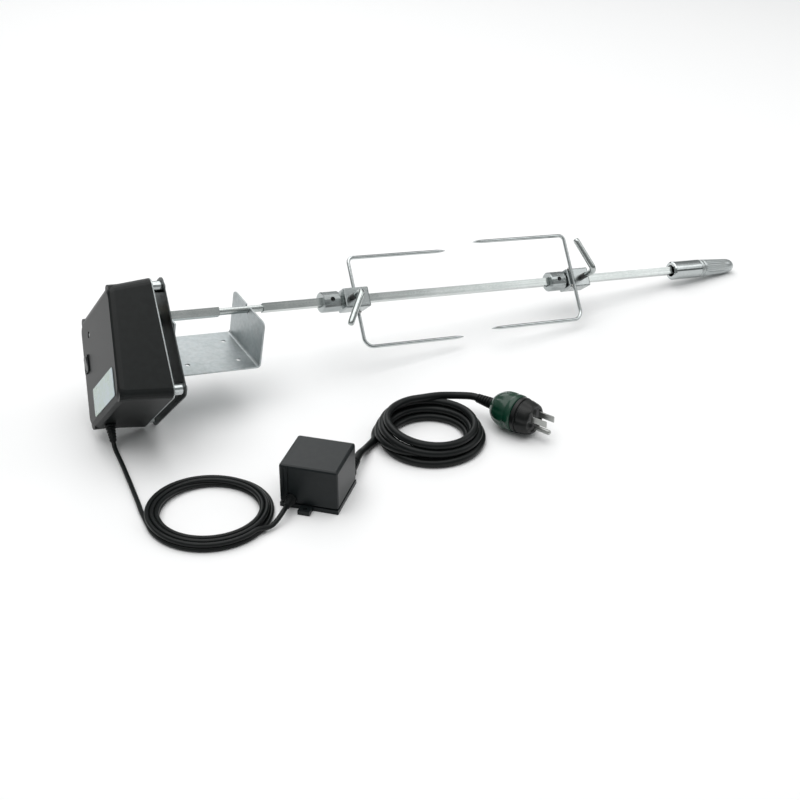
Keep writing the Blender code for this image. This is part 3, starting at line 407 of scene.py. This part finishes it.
class Paintbox:
    """Builds each finish once and puts it on pieces."""

    def __init__(self, tilt: float) -> None:
        """Build the shader groups.

        Args:
            tilt: how far the spit slopes, for the lines drawn along it.
        """
        self.groups = {"grain": grain_group(), "wear": wear_group(), "drawn": drawn_group(tilt)}
        self.made: dict[Look, bpy.types.Material] = {}

    def get(self, look: Look) -> bpy.types.Material:
        """The finish's material.

        Args:
            look: which finish.

        Returns:
            Its material, built the first time.
        """
        if look not in self.made:
            self.made[look] = look.value.build(self.groups)
        return self.made[look]

    def dress(self, piece: bpy.types.Object, look: Look) -> None:
        """Give a piece one finish all over."""
        piece.data.materials.clear()
        piece.data.materials.append(self.get(look))


# ---------------------------------------------------------------- frames read from the part
@dataclass
class Lie:
    """Where the sub-assemblies lie, read from the part's own joints."""

    record: dict

    def joint(self, name: str) -> dict:
        """A joint's entry."""
        return next(j for j in self.record["behaviour"]["joints"] if j["name"] == name)

    @property
    def root(self) -> Vector:
        """Where the spit's axis meets the heat shield."""
        return Vector(self.joint("drive_spin")["pos_m"])

    @property
    def along(self) -> Vector:
        """The spit's direction, from the motor to the handle."""
        return Vector(self.joint("drive_spin")["axis"]).normalized()

    @property
    def tilt(self) -> float:
        """How far the spit slopes down, in radians while the slope is small."""
        return -self.along.z

    def frame(self, z: Vector) -> Matrix:
        """A right-handed frame at the root with X along the spit.

        Args:
            z: its Z direction.

        Returns:
            The frame.
        """
        x = self.along
        y = z.cross(x).normalized()
        return Matrix.Translation(self.root) @ Matrix((x, y, x.cross(y))).transposed().to_4x4()

    def spit(self) -> Matrix:
        """The spit's frame: Z out of the hubs towards the thumb screws."""
        return self.frame(Vector(self.joint("thumb_screw_left_turn")["axis"]))

    def motor(self) -> Matrix:
        """The motor's frame: Z up its housing."""
        return self.frame((self.root - Vector(self.joint("idler_spin")["pos_m"])).normalized())


@dataclass
class Fitting:
    """A sub-assembly that dresses its pieces, puts them on their bodies and reports them."""

    paint: Paintbox
    lie: Lie

    def keep(self, piece: bpy.types.Object, look: Look, body: Body, nodes: Sequence[str] = (),
             slot: str = "") -> bpy.types.Object:
        """Finish a piece.

        Args:
            piece: the new piece.
            look: its finish.
            body: what it rides on.
            nodes: the part's nodes that it stands for.
            slot: a material slot's name; not used.

        Returns:
            The piece.
        """
        self.paint.dress(piece, look)
        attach(piece, body.value)
        if nodes:
            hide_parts(*nodes)
        LOG.info("%s rides on %s", piece.name, body.value)
        return piece


# ---------------------------------------------------------------- mesh tools
def to_piece(name: str, bm: bmesh.types.BMesh, place: Matrix | None = None,
             smooth_angle: float = 35.0) -> bpy.types.Object:
    """Turn mesh data into a placed object.

    Args:
        name: the piece's name.
        bm: its mesh, which is freed.
        place: where it goes.
        smooth_angle: edges sharper than this, in degrees, stay sharp.

    Returns:
        The new object.
    """
    if place is not None:
        bmesh.ops.transform(bm, matrix=place, verts=bm.verts)
    bmesh.ops.recalc_face_normals(bm, faces=bm.faces)
    mesh = bpy.data.meshes.new(name)
    bm.to_mesh(mesh)
    bm.free()
    mesh.shade_smooth()
    mesh.set_sharp_from_angle(angle=radians(smooth_angle))
    piece = bpy.data.objects.new(name, mesh)
    bpy.context.scene.collection.objects.link(piece)
    return piece


def skin(rings: Sequence[Sequence[Vector]]) -> bmesh.types.BMesh:
    """Close rings of points into a solid with flat ends.

    Args:
        rings: the rings, each with the same number of points.

    Returns:
        The mesh.
    """
    bm = bmesh.new()
    made = [[bm.verts.new(point) for point in ring] for ring in rings]
    count = len(made[0])
    for a, b in zip(made, made[1:]):
        for i in range(count):
            bm.faces.new((a[i], a[(i + 1) % count], b[(i + 1) % count], b[i]))
    bm.faces.new(made[0])
    bm.faces.new(list(reversed(made[-1])))
    return bm


def turned(profile: Profile, steps: int = 48,
           bulge: Callable[[float, float], float] | None = None) -> bmesh.types.BMesh:
    """Turn a profile about local X.

    Args:
        profile: (place along X, radius) pairs; the ends are closed.
        steps: sides round the axis.
        bulge: extra radius at (place, angle).

    Returns:
        The mesh.
    """
    rings = []
    for x, radius in profile:
        ring = []
        for angle in (2 * pi * i / steps for i in range(steps)):
            r = radius + (bulge(x, angle) if bulge else 0.0)
            ring.append(Vector((x, r * cos(angle), r * sin(angle))))
        rings.append(ring)
    return skin(rings)


def along_path(points: Sequence[Vector], radius: float, sides: int = 12,
               sizes: Sequence[float] | None = None) -> bmesh.types.BMesh:
    """A closed tube round points, with no twist.

    Args:
        points: the path.
        radius: the tube's radius.
        sides: sides round the tube.
        sizes: the share of the radius at each point.

    Returns:
        The mesh.
    """
    rings = []
    odd_way = Vector((0.31, 0.17, 0.94))
    normal = odd_way.cross(points[1] - points[0])
    for i, point in enumerate(points):
        before, after = points[max(i - 1, 0)], points[min(i + 1, len(points) - 1)]
        tangent = (after - before).normalized()
        normal = (normal - tangent * normal.dot(tangent)).normalized()
        side = tangent.cross(normal)
        reach = radius * (sizes[i] if sizes else 1.0)
        rings.append([point + (normal * cos(angle) + side * sin(angle)) * reach
                      for angle in (2 * pi * k / sides for k in range(sides))])
    return skin(rings)


def lump(centre: Vector, size: Vector, seed: float, rough: float) -> bmesh.types.BMesh:
    """A rippled ellipsoid, such as a weld bead.

    Args:
        centre: its middle.
        size: its three half sizes.
        seed: which ripples it gets.
        rough: how deep they are.

    Returns:
        The mesh.
    """
    ripples = 2.3
    bm = bmesh.new()
    bmesh.ops.create_icosphere(bm, subdivisions=3, radius=1.0)
    for vert in bm.verts:
        swell = 1 + rough * noise.noise(vert.co * ripples + Vector((seed, 0, 0)))
        vert.co = centre + Vector([a * b * swell for a, b in zip(vert.co, size)])
    return bm


# ---------------------------------------------------------------- cords
def plan(x: float, y: float, z: float) -> Vector:
    """A plan point in the part's frame."""
    return Vector((x, y, z)) + PLAN


def by_transformer(across: float, out: float, height: float) -> Vector:
    """A point given from the transformer's middle.

    Args:
        across: how far along the faces that hold its glands.
        out: how far out towards the mains gland.
        height: how far above the table.

    Returns:
        The point in the part's frame.
    """
    x, y = TRANSFORMER_AT
    c, s = cos(TRANSFORMER_YAW), sin(TRANSFORMER_YAW)
    return plan(x + across * c - out * s, y + across * s + out * c, height)


@dataclass
class Coil:
    """A round coil wound in turns, each at its own radius and height."""

    centre: tuple[float, float]
    sense: Sense
    start: float
    finish: float
    turns: list[tuple[float, float]]
    wobble: float = 0.0004
    step: float = 9.0
    climb_from: float = 0.62

    def points(self) -> list[Vector]:
        """The coil's centreline; each turn eases into the next over its last third.

        Returns:
            Its points.
        """
        count = len(self.turns)
        sweep = self.sense.value * (self.finish - self.start) % 360 + 360 * (count - 1)
        steps = int(sweep / self.step)
        found = []
        for i in range(steps + 1):
            degrees = sweep * i / steps
            turn = degrees / 360
            index = min(int(turn), count - 1)
            share = max(0.0, (turn - index - self.climb_from) / (1 - self.climb_from))
            ease = share * share * (3 - 2 * share)
            radius, height = self.turns[index]
            further = self.turns[min(index + 1, count - 1)]
            radius += (further[0] - radius) * ease
            height += (further[1] - height) * ease
            angle = radians(self.start) + self.sense.value * radians(degrees)
            radius += self.wobble * (sin(2 * angle + 0.9 * index) + 0.5 * sin(3 * angle - index))
            found.append(plan(self.centre[0] + radius * cos(angle),
                              self.centre[1] + radius * sin(angle), height))
        return found


def line_length(points: Sequence[Vector]) -> float:
    """The length of a line of points."""
    return sum((b - a).length for a, b in zip(points, points[1:]))


def smooth_line(route: Sequence[Vector], spacing: float, fine: int = 8) -> list[Vector]:
    """Even points on a smooth curve through the route.

    Args:
        route: the route's own points.
        spacing: the distance between the new ones.
        fine: how many steps each stretch is first cut into.

    Returns:
        The even points.
    """
    ends = [2 * route[0] - route[1], *route, 2 * route[-1] - route[-2]]
    dense = []
    for i in range(1, len(ends) - 2):
        p0, p1, p2, p3 = ends[i - 1:i + 3]
        k0, k1, k2 = (max((b - a).length, 1e-6) ** 0.5 for a, b in ((p0, p1), (p1, p2), (p2, p3)))
        m1 = (p2 - p1) + k1 * ((p1 - p0) / k0 - (p2 - p0) / (k0 + k1))
        m2 = (p2 - p1) + k1 * ((p3 - p2) / k2 - (p3 - p1) / (k1 + k2))
        for t in (step / fine for step in range(fine)):
            dense.append((2 * t ** 3 - 3 * t * t + 1) * p1 + (t ** 3 - 2 * t * t + t) * m1
                         + (3 * t * t - 2 * t ** 3) * p2 + (t ** 3 - t * t) * m2)
    dense.append(route[-1])
    total = line_length(dense)
    count = max(2, round(total / spacing))
    even, walked = [dense[0]], 0.0
    for a, b in zip(dense, dense[1:]):
        step = (b - a).length
        while len(even) < count and walked + step >= total * len(even) / count:
            even.append(a.lerp(b, (total * len(even) / count - walked) / step))
        walked += step
    even.append(dense[-1])
    return even


@dataclass
class Cords(Fitting):
    """The low-voltage lead and the mains lead, each wound from one length of cord."""

    lead_d: float = 0.0044
    mains_d: float = 0.0074
    lead_coil: Coil = field(default_factory=lambda: Coil(
        (-0.2423, -0.1006), Sense.ANTICLOCKWISE, 172.0, 296.0,
        [(0.0546, 0.0023), (0.0500, 0.0023), (0.0452, 0.0023), (0.0452, 0.0068), (0.0498, 0.0068),
         (0.0545, 0.0067)]))
    mains_coil: Coil = field(default_factory=lambda: Coil(
        (-0.0120, -0.0798), Sense.CLOCKWISE, 158.0, 72.0,
        [(0.0514, 0.0038), (0.0438, 0.0038), (0.0363, 0.0040), (0.0401, 0.0106), (0.0476, 0.0106),
         (0.0440, 0.0173), (0.0395, 0.0232)]))

    def lead_route(self) -> list[Vector]:
        """The low-voltage lead, from the motor's gland to the transformer.

        Returns:
            Its points.
        """
        motor = self.lie.motor()
        out = [motor @ (MOTOR_GLAND + Vector((0, 0, -drop))) for drop in (0.0150, 0.0175, 0.0210)]
        tip, entry = motor @ (MOTOR_GLAND + Vector((0, 0, -0.0159))), plan(-0.2944, -0.0700, 0.0024)
        run = [Vector((*tip.lerp(entry, share).xy, height)) + Vector((aside, 0, 0))
               for share, aside, height in (
                   (0.10, -0.0001, 0.0034), (0.15, 0.0003, 0.0025), (0.22, 0.0005, 0.0024),
                   (0.32, 0.0007, 0.0024), (0.43, 0.0007, 0.0024), (0.56, 0.0007, 0.0024),
                   (0.70, 0.0006, 0.0024), (0.81, 0.0005, 0.0024), (0.91, 0.0003, 0.0024),
                   (1.0, 0.0, 0.0024))]
        leave = [plan(-0.2050, -0.1475, 0.0042), plan(-0.1980, -0.1447, 0.0060)]
        across, height = LEAD_GLAND
        home = [by_transformer(across, -TRANSFORMER_HALF - reach, height)
                for reach in (0.0220, 0.0175, 0.0130)]
        return [*out, *run, *self.lead_coil.points(), *leave, *home]

    def mains_route(self) -> list[Vector]:
        """The mains lead, from the transformer to the plug.

        Returns:
            Its points.
        """
        across, height = MAINS_GLAND
        out = [by_transformer(across, TRANSFORMER_HALF + reach, height) for reach in (0.0205, 0.0255, 0.0320)]
        run = [plan(-0.0790, -0.0772, 0.0064), plan(-0.0705, -0.0695, 0.0044)]
        leave = [plan(0.0170, -0.0445, 0.0225), plan(0.0330, -0.0478, 0.0203)]
        axis = Vector((cos(PLUG_YAW), sin(PLUG_YAW), 0))
        home = [plan(*PLUG_REAR) - axis * reach for reach in (0.0250, 0.0190)]
        return [*out, *run, *self.mains_coil.points(), *leave, *home]

    def tube(self, name: str, points: Sequence[Vector], diameter: float) -> bpy.types.Object:
        """A cord's curve along points.

        Args:
            name: the piece's name.
            points: its centreline.
            diameter: its thickness.

        Returns:
            The curve's object.
        """
        curve = bpy.data.curves.new(name, "CURVE")
        curve.dimensions = "3D"
        curve.bevel_depth = diameter / 2
        curve.bevel_resolution = 5
        curve.use_fill_caps = True
        spline = curve.splines.new("POLY")
        spline.points.add(len(points) - 1)
        for target, point in zip(spline.points, points):
            target.co = (*point, 1)
        spline.use_smooth = True
        piece = bpy.data.objects.new(name, curve)
        bpy.context.scene.collection.objects.link(piece)
        return piece

    def build(self, plug_pieces: list[object]) -> None:
        """Args:
            plug_pieces: what hangs on the mains lead's end; not used.
        """
        lead = smooth_line(self.lead_route(), 0.0035)
        piece = self.keep(self.tube("lead_cord", lead, self.lead_d), Look.JACKET, Body.MOTOR,
                          ("lead_tube_motor", "lead_coil", "lead_tube_transformer"), "cord_rubber")
        mains = smooth_line(self.mains_route(), 0.0045)
        piece = self.keep(self.tube("mains_cord", mains, self.mains_d), Look.JACKET, Body.MOTOR,
                          ("mains_tube_transformer", "mains_coil", "mains_tube_plug"), "cord_rubber")
        LOG.info("the lead is %.3f m long, and the mains cord %.3f m", line_length(lead), line_length(mains))


# ---------------------------------------------------------------- reliefs and plug
def ribbed(length: float, thick: float, thin: float, ribs: int, collar: float) -> Profile:
    """A strain relief's profile: a collar, then rings that shrink towards the cord.

    Args:
        length: its whole length.
        thick: its radius at the housing.
        thin: its radius at the cord.
        ribs: how many rings.
        collar: the collar's width.

    Returns:
        (place, radius) pairs.
    """
    flange, waist, end = 1.22, 0.86, 0.94
    profile = [(0.0, thick * flange), (collar * 0.8, thick * flange), (collar, thick * 1.1)]
    pitch = (length - collar) / ribs
    for i in range(ribs):
        start, radius = collar + i * pitch, thick + (thin - thick) * i / ribs
        profile += [(start + pitch * share, radius * size)
                    for share, size in ((0.08, waist), (0.22, 1.0), (0.68, 1.0), (0.82, waist))]
    return [*profile, (length, thin * end)]


@dataclass
class Reliefs(Fitting):
    """The ribbed strain reliefs on the motor and the transformer."""

    ribs: int = 5
    sides: int = 32
    motor_sink: float = 0.0006
    case_gap: float = 0.0002

    def place(self, name: str, node: str, profile: Profile, where: Matrix) -> None:
        """Put a relief where its plain solid is.

        Args:
            name: the piece's name.
            node: the solid it stands for.
            profile: its outline.
            where: its frame, X out of the housing.
        """
        self.keep(to_piece(name, turned(profile, self.sides), where), Look.JACKET, Body.MOTOR, (node,),
                  "cord_rubber")

    def build(self) -> None:
        """Make all three."""
        down = Matrix.Rotation(pi / 2, 4, "Y")
        root = Matrix.Translation(MOTOR_GLAND - Vector((0, 0, self.motor_sink)))
        self.place("motor_relief", "motor_gland", ribbed(0.0162, 0.0046, 0.0030, self.ribs, 0.0020),
                   self.lie.motor() @ root @ down)
        for name, node, (across, height), side, radius, length in (
                ("lead_relief", "lead_gland", LEAD_GLAND, -1, 0.0022, 0.0135),
                ("mains_relief", "mains_gland", MAINS_GLAND, 1, 0.0037, 0.0215)):
            at = by_transformer(across, side * (TRANSFORMER_HALF + self.case_gap), height)
            yaw = Matrix.Rotation(TRANSFORMER_YAW + side * pi / 2, 4, "Z")
            self.place(name, node, ribbed(length, radius + 0.0019, radius + 0.0006, self.ribs, 0.0022),
                       Matrix.Translation(at) @ yaw)


@dataclass
class Plug(Fitting):
    """The mains plug: fluted body, pin face with a raised rim, ribbed relief, and the part's own pins."""

    radius: float = 0.0183
    body: float = 0.0290
    face: float = 0.0178
    flutes: int = 9
    notches: int = 6
    sides: int = 72
    edge: float = 0.0008
    gap: float = 0.0003
    dome: float = 0.62
    narrowing: float = 0.80

    def frame(self) -> Matrix:
        """The plug's frame, X out of its face."""
        return Matrix.Translation(plan(*PLUG_REAR)) @ Matrix.Rotation(PLUG_YAW, 4, "Z")

    def build_body(self) -> bpy.types.Object:
        """The green body, domed to the cord and fluted for the fingers.

        Returns:
            The piece.
        """
        r, end = self.radius, self.body
        dome = [(end * share, r * sqrt(max(0.0, 1 - (1 - share / self.dome) ** 2 * self.narrowing)))
                for share in (0.0, 0.04, 0.1, 0.18, 0.27, 0.37, 0.48, 0.60)]
        groove = [(end * share, r * size)
                  for share, size in ((0.70, 1.0), (0.74, 0.965), (0.78, 0.965), (0.82, 1.0))]
        profile = [(-0.0001, r * 0.30), *dome, *groove, (end - self.edge, r), (end, r - self.edge)]

        def flute(x: float, angle: float) -> float:
            """The finger flutes, deepest at mid length."""
            reach = max(0.0, 1 - abs(x / end - 0.45) / 0.4)
            return -0.0009 * reach * max(0.0, cos(self.flutes * angle)) ** 2

        piece = to_piece("plug_shell", turned(profile, self.sides, flute), self.frame(), 50)
        return self.keep(piece, Look.PLUG, Body.MOTOR, ("plug_body",), "green_plastic")

    def build_face(self) -> bpy.types.Object:
        """The black face: a grooved skirt, a rim, and a sunk floor that the pins stand on.

        Returns:
            The piece.
        """
        r, start = self.radius - self.edge, self.body + self.gap
        end, floor = start + self.face, start + self.face - 0.0012
        back = [(start, r * 0.5), (start, r - 0.0006), (start + 0.0006, r), (start + 0.0042, r)]
        groove = [(start + 0.0048, r - 0.0011), (start + 0.0062, r - 0.0011), (start + 0.0068, r - 0.0002)]
        rim = [(end - 0.0040, r - 0.0016), (end - 0.0010, r - 0.0026), (end, r - 0.0036), (end, r - 0.0056)]
        sunk = [(floor, r - 0.0062), (floor, r * 0.3), (floor, 0.0005)]

        def notch(x: float, angle: float) -> float:
            """Grip notches round the skirt."""
            inside = start + 0.0065 < x < end - 0.0005
            return -0.0012 * max(0.0, cos(self.notches * angle + 0.6)) ** 4 if inside else 0.0

        bm = turned([*back, *groove, *rim, *sunk], self.sides, notch)
        return self.keep(to_piece("plug_cap", bm, self.frame(), 40), Look.CAP, Body.MOTOR, ("plug_face",),
                         "black_plastic")

    def build_relief(self) -> bpy.types.Object:
        """The ribbed relief behind the body.

        Returns:
            The piece.
        """
        back = self.frame() @ Matrix.Rotation(pi, 4, "Z")
        piece = to_piece("plug_tail", turned(ribbed(0.0205, 0.0058, 0.0043, 6, 0.0016), 32), back)
        return self.keep(piece, Look.JACKET, Body.MOTOR, ("plug_relief",), "cord_rubber")

    def build(self) -> list[object]:
        """Make the plug.

        Returns:
            The pieces that hang on the cord.
        """
        return [self.build_body(), self.build_face(), self.build_relief(),
                "plug_blade_1", "plug_blade_2", "plug_earth_pin"]


# ---------------------------------------------------------------- spit
@dataclass
class Grip(Fitting):
    """The handle's grip: fluted along, with a ring at its start and a rounded tip."""

    start: float = 0.6678
    length: float = 0.0525
    thick: float = 0.0100
    thin: float = 0.0083
    dome: float = 0.0120
    ring: float = 0.0048
    edge: float = 0.0006
    flutes: int = 18
    flute_from: float = 0.0052
    flute_depth: float = 0.0007
    sides: int = 108

    def build(self) -> None:
        """Make the grip."""
        start, end, thick, thin = self.start, self.start + self.length, self.thick, self.thin
        tip, neck = end - self.dome, start + self.ring + self.edge
        ring = [(start, thick - 0.0010), (start + self.edge, thick), (start + self.ring - self.edge, thick),
                (start + self.ring, thick - self.flute_depth)]
        body = [(neck + (tip - neck) * share, thick + (thin - thick) * share)
                for share in (i / 12 for i in range(13))]
        dome = [(tip + self.dome * sin(a), thin * cos(a)) for a in (pi / 12 * k for k in range(1, 6))]

        def flute(x: float, angle: float) -> float:
            """Grooves along the grip, fading at its ends."""
            share = (x - start - self.flute_from) / (tip - start - self.flute_from)
            fade = max(0.0, min(1.0, share * 8, (1 - share) * 6))
            return -self.flute_depth * fade * max(0.0, cos(self.flutes * angle)) ** 2

        bm = turned([*ring, *body, *dome, (end, 0.0006)], self.sides, flute)
        self.keep(to_piece("fluted_grip", bm, self.lie.spit(), 60), Look.GRIP, Body.SPIT, ("handle_grip",),
                  "grey_plastic")


@dataclass
class ForkWire(Fitting):
    """One fork's bent wire, smooth and round, with ground points and its welds to the hub."""

    name: str
    body: Body
    place: float
    direction: int
    side: int
    spread: float = 0.096
    reach: float = 0.118
    radius: float = 0.0019
    bends: tuple[float, float] = (0.006, 0.010)
    lift: float = 0.0127
    sides: int = 16
    point: tuple[float, ...] = (0.10, 0.38, 0.72, 0.97)
    weld_at: float = 0.0098
    weld: Point = (0.0030, 0.0022, 0.0014)

    def path(self) -> list[Vector]:
        """The wire's centreline.

        Returns:
            Its points, from tip to tip.
        """
        half, way = self.spread / 2, self.direction
        straight = (1.0, 0.985, 0.955, 0.91, 0.7, 0.4, 0.2)
        points = [(way * self.reach * share, half) for share in straight]
        for sign, radius in ((1, self.bends[0]), (-1, self.bends[1])):
            middle = (way * radius, sign * (half - radius))
            arc = [(middle[0] - way * radius * sin(a), middle[1] + sign * radius * cos(a))
                   for a in (pi / 2 * i / 10 for i in range(11))]
            points += arc if sign > 0 else reversed(arc)
        points += [(way * self.reach * share, -half) for share in reversed(straight)]
        frame = self.lie.spit()
        return [frame @ Vector((self.place + x, y, self.side * self.lift)) for x, y in points]

    def build(self) -> None:
        """Make the wire and its welds."""
        points = self.path()
        ground = self.point
        sizes = [*ground, *[1.0] * (len(points) - 2 * len(ground)), *reversed(ground)]
        wire = to_piece(f"tine_wire_{self.name}", along_path(points, self.radius, self.sides, sizes),
                        smooth_angle=70)
        self.keep(wire, Look.BRIGHT, self.body, (f"fork_wire_{self.name}",), "chrome")
        for number, y in enumerate((-self.weld_at, self.weld_at), 1):
            seat = Vector((self.place, y, self.side * (self.lift - self.weld[2])))
            bead = lump(seat, Vector(self.weld), 3.1 * number + self.place, 0.35)
            self.keep(to_piece(f"weld_{self.name}_{number}", bead, self.lie.spit(), 80), Look.WELD, self.body)


@dataclass
class ThumbScrew(Fitting):
    """An L-shaped thumb screw: threaded stem, bend, and a handle with a rounded end."""

    name: str
    body: Body
    at: float
    turn: float
    stem: float = 0.0027
    handle: float = 0.0033
    rise: float = 0.034
    length: float = 0.040
    bend: float = 0.0052
    sides: int = 20
    thread_from: float = 0.0108
    thread_pitch: float = 0.0008
    thread_turns: int = 9
    thread_stands: float = 0.0002
    thread_wire: float = 0.00028

    def build(self) -> None:
        """Make the screw and its thread."""
        bend, way = self.bend, Vector((cos(self.turn), sin(self.turn), 0))
        path = [(0.0, 0.0046), (0.0, 0.012), (0.0, 0.020), (0.0, self.rise - bend - 0.002)]
        path += [(bend * (1 - cos(a)), self.rise - bend + bend * sin(a))
                 for a in (pi / 2 * i / 8 for i in range(9))]
        path += [(self.length * share, self.rise) for share in (0.3, 0.6, 0.9, 0.965, 0.99, 1.0)]
        stem, rounded = [self.stem / self.handle] * 3, [0.93, 0.72, 0.35]
        sizes = [*stem, *[1.0] * (len(path) - len(stem) - len(rounded)), *rounded]
        points = [Vector((self.at, 0, up)) + way * out for out, up in path]
        screw = to_piece(f"bent_screw_{self.name}", along_path(points, self.handle, self.sides, sizes),
                         self.lie.spit(), 60)
        self.keep(screw, Look.CHROME, self.body, (f"thumb_screw_{self.name}",), "chrome")
        # The thread is a near-black helix wire round the stem: painted shade in the thread's grooves.
        steps, out = 14, self.stem + self.thread_stands
        helix = [Vector((self.at + out * cos(a), out * sin(a),
                         self.thread_from + self.thread_pitch * a / (2 * pi)))
                 for a in (2 * pi * k / steps for k in range(steps * self.thread_turns))]
        thread = to_piece(f"screw_thread_{self.name}", along_path(helix, self.thread_wire, 6),
                          self.lie.spit(), 80)
        self.keep(thread, Look.THREAD_SHADE, self.body)


# ---------------------------------------------------------------- part's own pieces
@dataclass
class Dressing:
    """The finish of every piece of the part that stays as it is."""

    paint: Paintbox
    nodes: dict[str, bpy.types.Object]
    looks: dict[Look, tuple[str, ...]] = field(default_factory=lambda: {
        Look.COVER: ("motor_cover",),
        Look.BLACK: ("switch_bezel", "transformer_case", "transformer_base"),
        Look.ROCKER: ("switch_rocker",),
        Look.FILM: ("label_plate",),
        Look.SHIELD_DARK_REFLECTION: ("heat_shield_plate",),
        Look.STEEL: ("motor_base_plate", "shield_screw_1", "shield_screw_2", "shield_screw_3",
                     "shield_screw_4", "cover_screw", "idler_axle", "rotor", "drive_motor", "output_drive",
                     "stop_collar_left", "stop_collar_right", "fork_hub_left", "fork_hub_right",
                     "transformer_core"),
        Look.BRIGHT: ("spacer_1", "spacer_2", "spacer_3", "spacer_4", "handle_sleeve"),
        Look.CHROME: ("spit_rod",),
        Look.THREAD_SHADE: ("set_screw_left", "set_screw_right"),
        Look.ZINC: ("support_bracket", "gear_frame"),
        Look.BRASS: ("plug_blade_1", "plug_blade_2", "plug_earth_pin"),
        Look.BRONZE: ("output_bush",),
        Look.COPPER: ("transformer_winding",),
        Look.NYLON: ("idler_gear",),
    })

    def build(self) -> None:
        """Dress each node and report it."""
        for look, names in self.looks.items():
            for name in names:
                self.paint.dress(self.nodes[name], look)
                LOG.info("%s is finished in %s", name, look.value.name)


# ---------------------------------------------------------------- studio
@dataclass(frozen=True)
class Lamp:
    """A square soft light that looks at the part's origin."""

    name: str
    at: Point
    size: float
    power: float

    def build(self) -> None:
        """Hang the light."""
        data = bpy.data.lights.new(self.name, "AREA")
        data.size = self.size
        data.energy = self.power
        lamp = bpy.data.objects.new(self.name, data)
        lamp.location = self.at
        lamp.rotation_euler = (-Vector(self.at)).to_track_quat("-Z", "Y").to_euler()
        bpy.context.scene.collection.objects.link(lamp)


@dataclass
class Studio:
    """Pale floor, soft lights and camera."""

    camera_at: Vector = field(default_factory=lambda: plan(-0.5752, -1.0728, 0.6915))
    aim: Vector = field(default_factory=lambda: plan(0.0, 0.0, 0.0))
    lens: float = 63.0
    sensor: float = 36.0
    sight: float = 50.0
    floor_size: float = 40.0
    floor_drop: float = 0.0002
    floor_greys: tuple[float, float] = (0.935, 0.955)
    strength: float = 0.72
    lamps: tuple[Lamp, ...] = (Lamp("key", (-0.3, 0.1, 2.4), 3.0, 44.0),
                               Lamp("side", (1.7, -0.6, 1.4), 1.2, 6.0),
                               Lamp("back", (0.3, 1.9, 1.5), 1.4, 9.0))

    def build_floor(self) -> None:
        """The pale floor, a touch below the part's lowest point."""
        bm = bmesh.new()
        bmesh.ops.create_grid(bm, x_segments=8, y_segments=8, size=self.floor_size)
        floor = to_piece("floor", bm, Matrix.Translation((0, 0, -self.floor_drop)))
        material = bpy.data.materials.new("floor_white")
        material.use_nodes = True
        shade = Shade(material.node_tree)
        shader = material.node_tree.nodes["Principled BSDF"]
        shader.inputs["Roughness"].default_value = 0.6
        shader.inputs["Specular IOR Level"].default_value = 0.2
        cloud = shade.noise(shade.add("ShaderNodeTexCoord").outputs["Object"], 0.7, 2.0)
        tone = shade.add("ShaderNodeValToRGB", in_Fac=cloud)
        for stop, grey in zip(tone.color_ramp.elements, self.floor_greys):
            stop.color = (grey, grey, grey, 1)
        shade.feed(shader.inputs["Base Color"], tone.outputs["Color"])
        floor.data.materials.append(material)

    def build_camera(self) -> None:
        """The camera."""
        data = bpy.data.cameras.new("camera")
        data.lens = self.lens
        data.sensor_width = self.sensor
        data.clip_end = self.sight
        camera = bpy.data.objects.new("camera", data)
        camera.location = self.camera_at
        camera.rotation_euler = (self.aim - self.camera_at).to_track_quat("-Z", "Y").to_euler()
        bpy.context.scene.collection.objects.link(camera)
        bpy.context.scene.camera = camera

    def build_world(self) -> None:
        """Grey surroundings that darken low down, so that bright metal has something to reflect."""
        world = bpy.data.worlds.new("studio")
        bpy.context.scene.world = world
        world.use_nodes = True
        shade = Shade(world.node_tree)
        back = world.node_tree.nodes["Background"]
        place = shade.add("ShaderNodeTexCoord").outputs["Generated"]
        split = shade.add("ShaderNodeSeparateXYZ", in_0=place)
        ramp = shade.add("ShaderNodeValToRGB", in_Fac=split.outputs["Z"])
        stops = ramp.color_ramp.elements
        stops[0].position, stops[0].color = 0.0, (0.20, 0.21, 0.21, 1)
        stops[1].position, stops[1].color = 1.0, (1.0, 1.0, 1.0, 1)
        middle = stops.new(0.35)
        middle.color = (0.32, 0.34, 0.34, 1)
        shade.feed(back.inputs["Color"], ramp.outputs["Color"])
        back.inputs["Strength"].default_value = self.strength

    def build(self) -> None:
        """Make it all."""
        self.build_camera()
        self.build_floor()
        self.build_world()
        for lamp in self.lamps:
            lamp.build()
        bpy.context.scene.view_settings.view_transform = "Standard"


def main() -> None:
    """Load the part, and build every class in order."""
    logging.basicConfig(level=logging.INFO, format="%(message)s")
    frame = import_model()
    lie = Lie(frame["record"])
    paint = Paintbox(lie.tilt)
    Studio().build()
    plug_pieces = Plug(paint, lie).build()
    Cords(paint, lie).build(plug_pieces)
    Reliefs(paint, lie).build()
    Grip(paint, lie).build()
    ForkWire(paint, lie, "left", Body.FORK_LEFT, 0.223, 1, -1).build()
    ForkWire(paint, lie, "right", Body.FORK_RIGHT, 0.479, -1, 1).build()
    ThumbScrew(paint, lie, "left", Body.SCREW_LEFT, 0.208, radians(237.7)).build()
    ThumbScrew(paint, lie, "right", Body.SCREW_RIGHT, 0.494, radians(112.7)).build()
    Dressing(paint, frame["nodes"]).build()
    LOG.info("kit built")


if __name__ == "__main__":
    main()
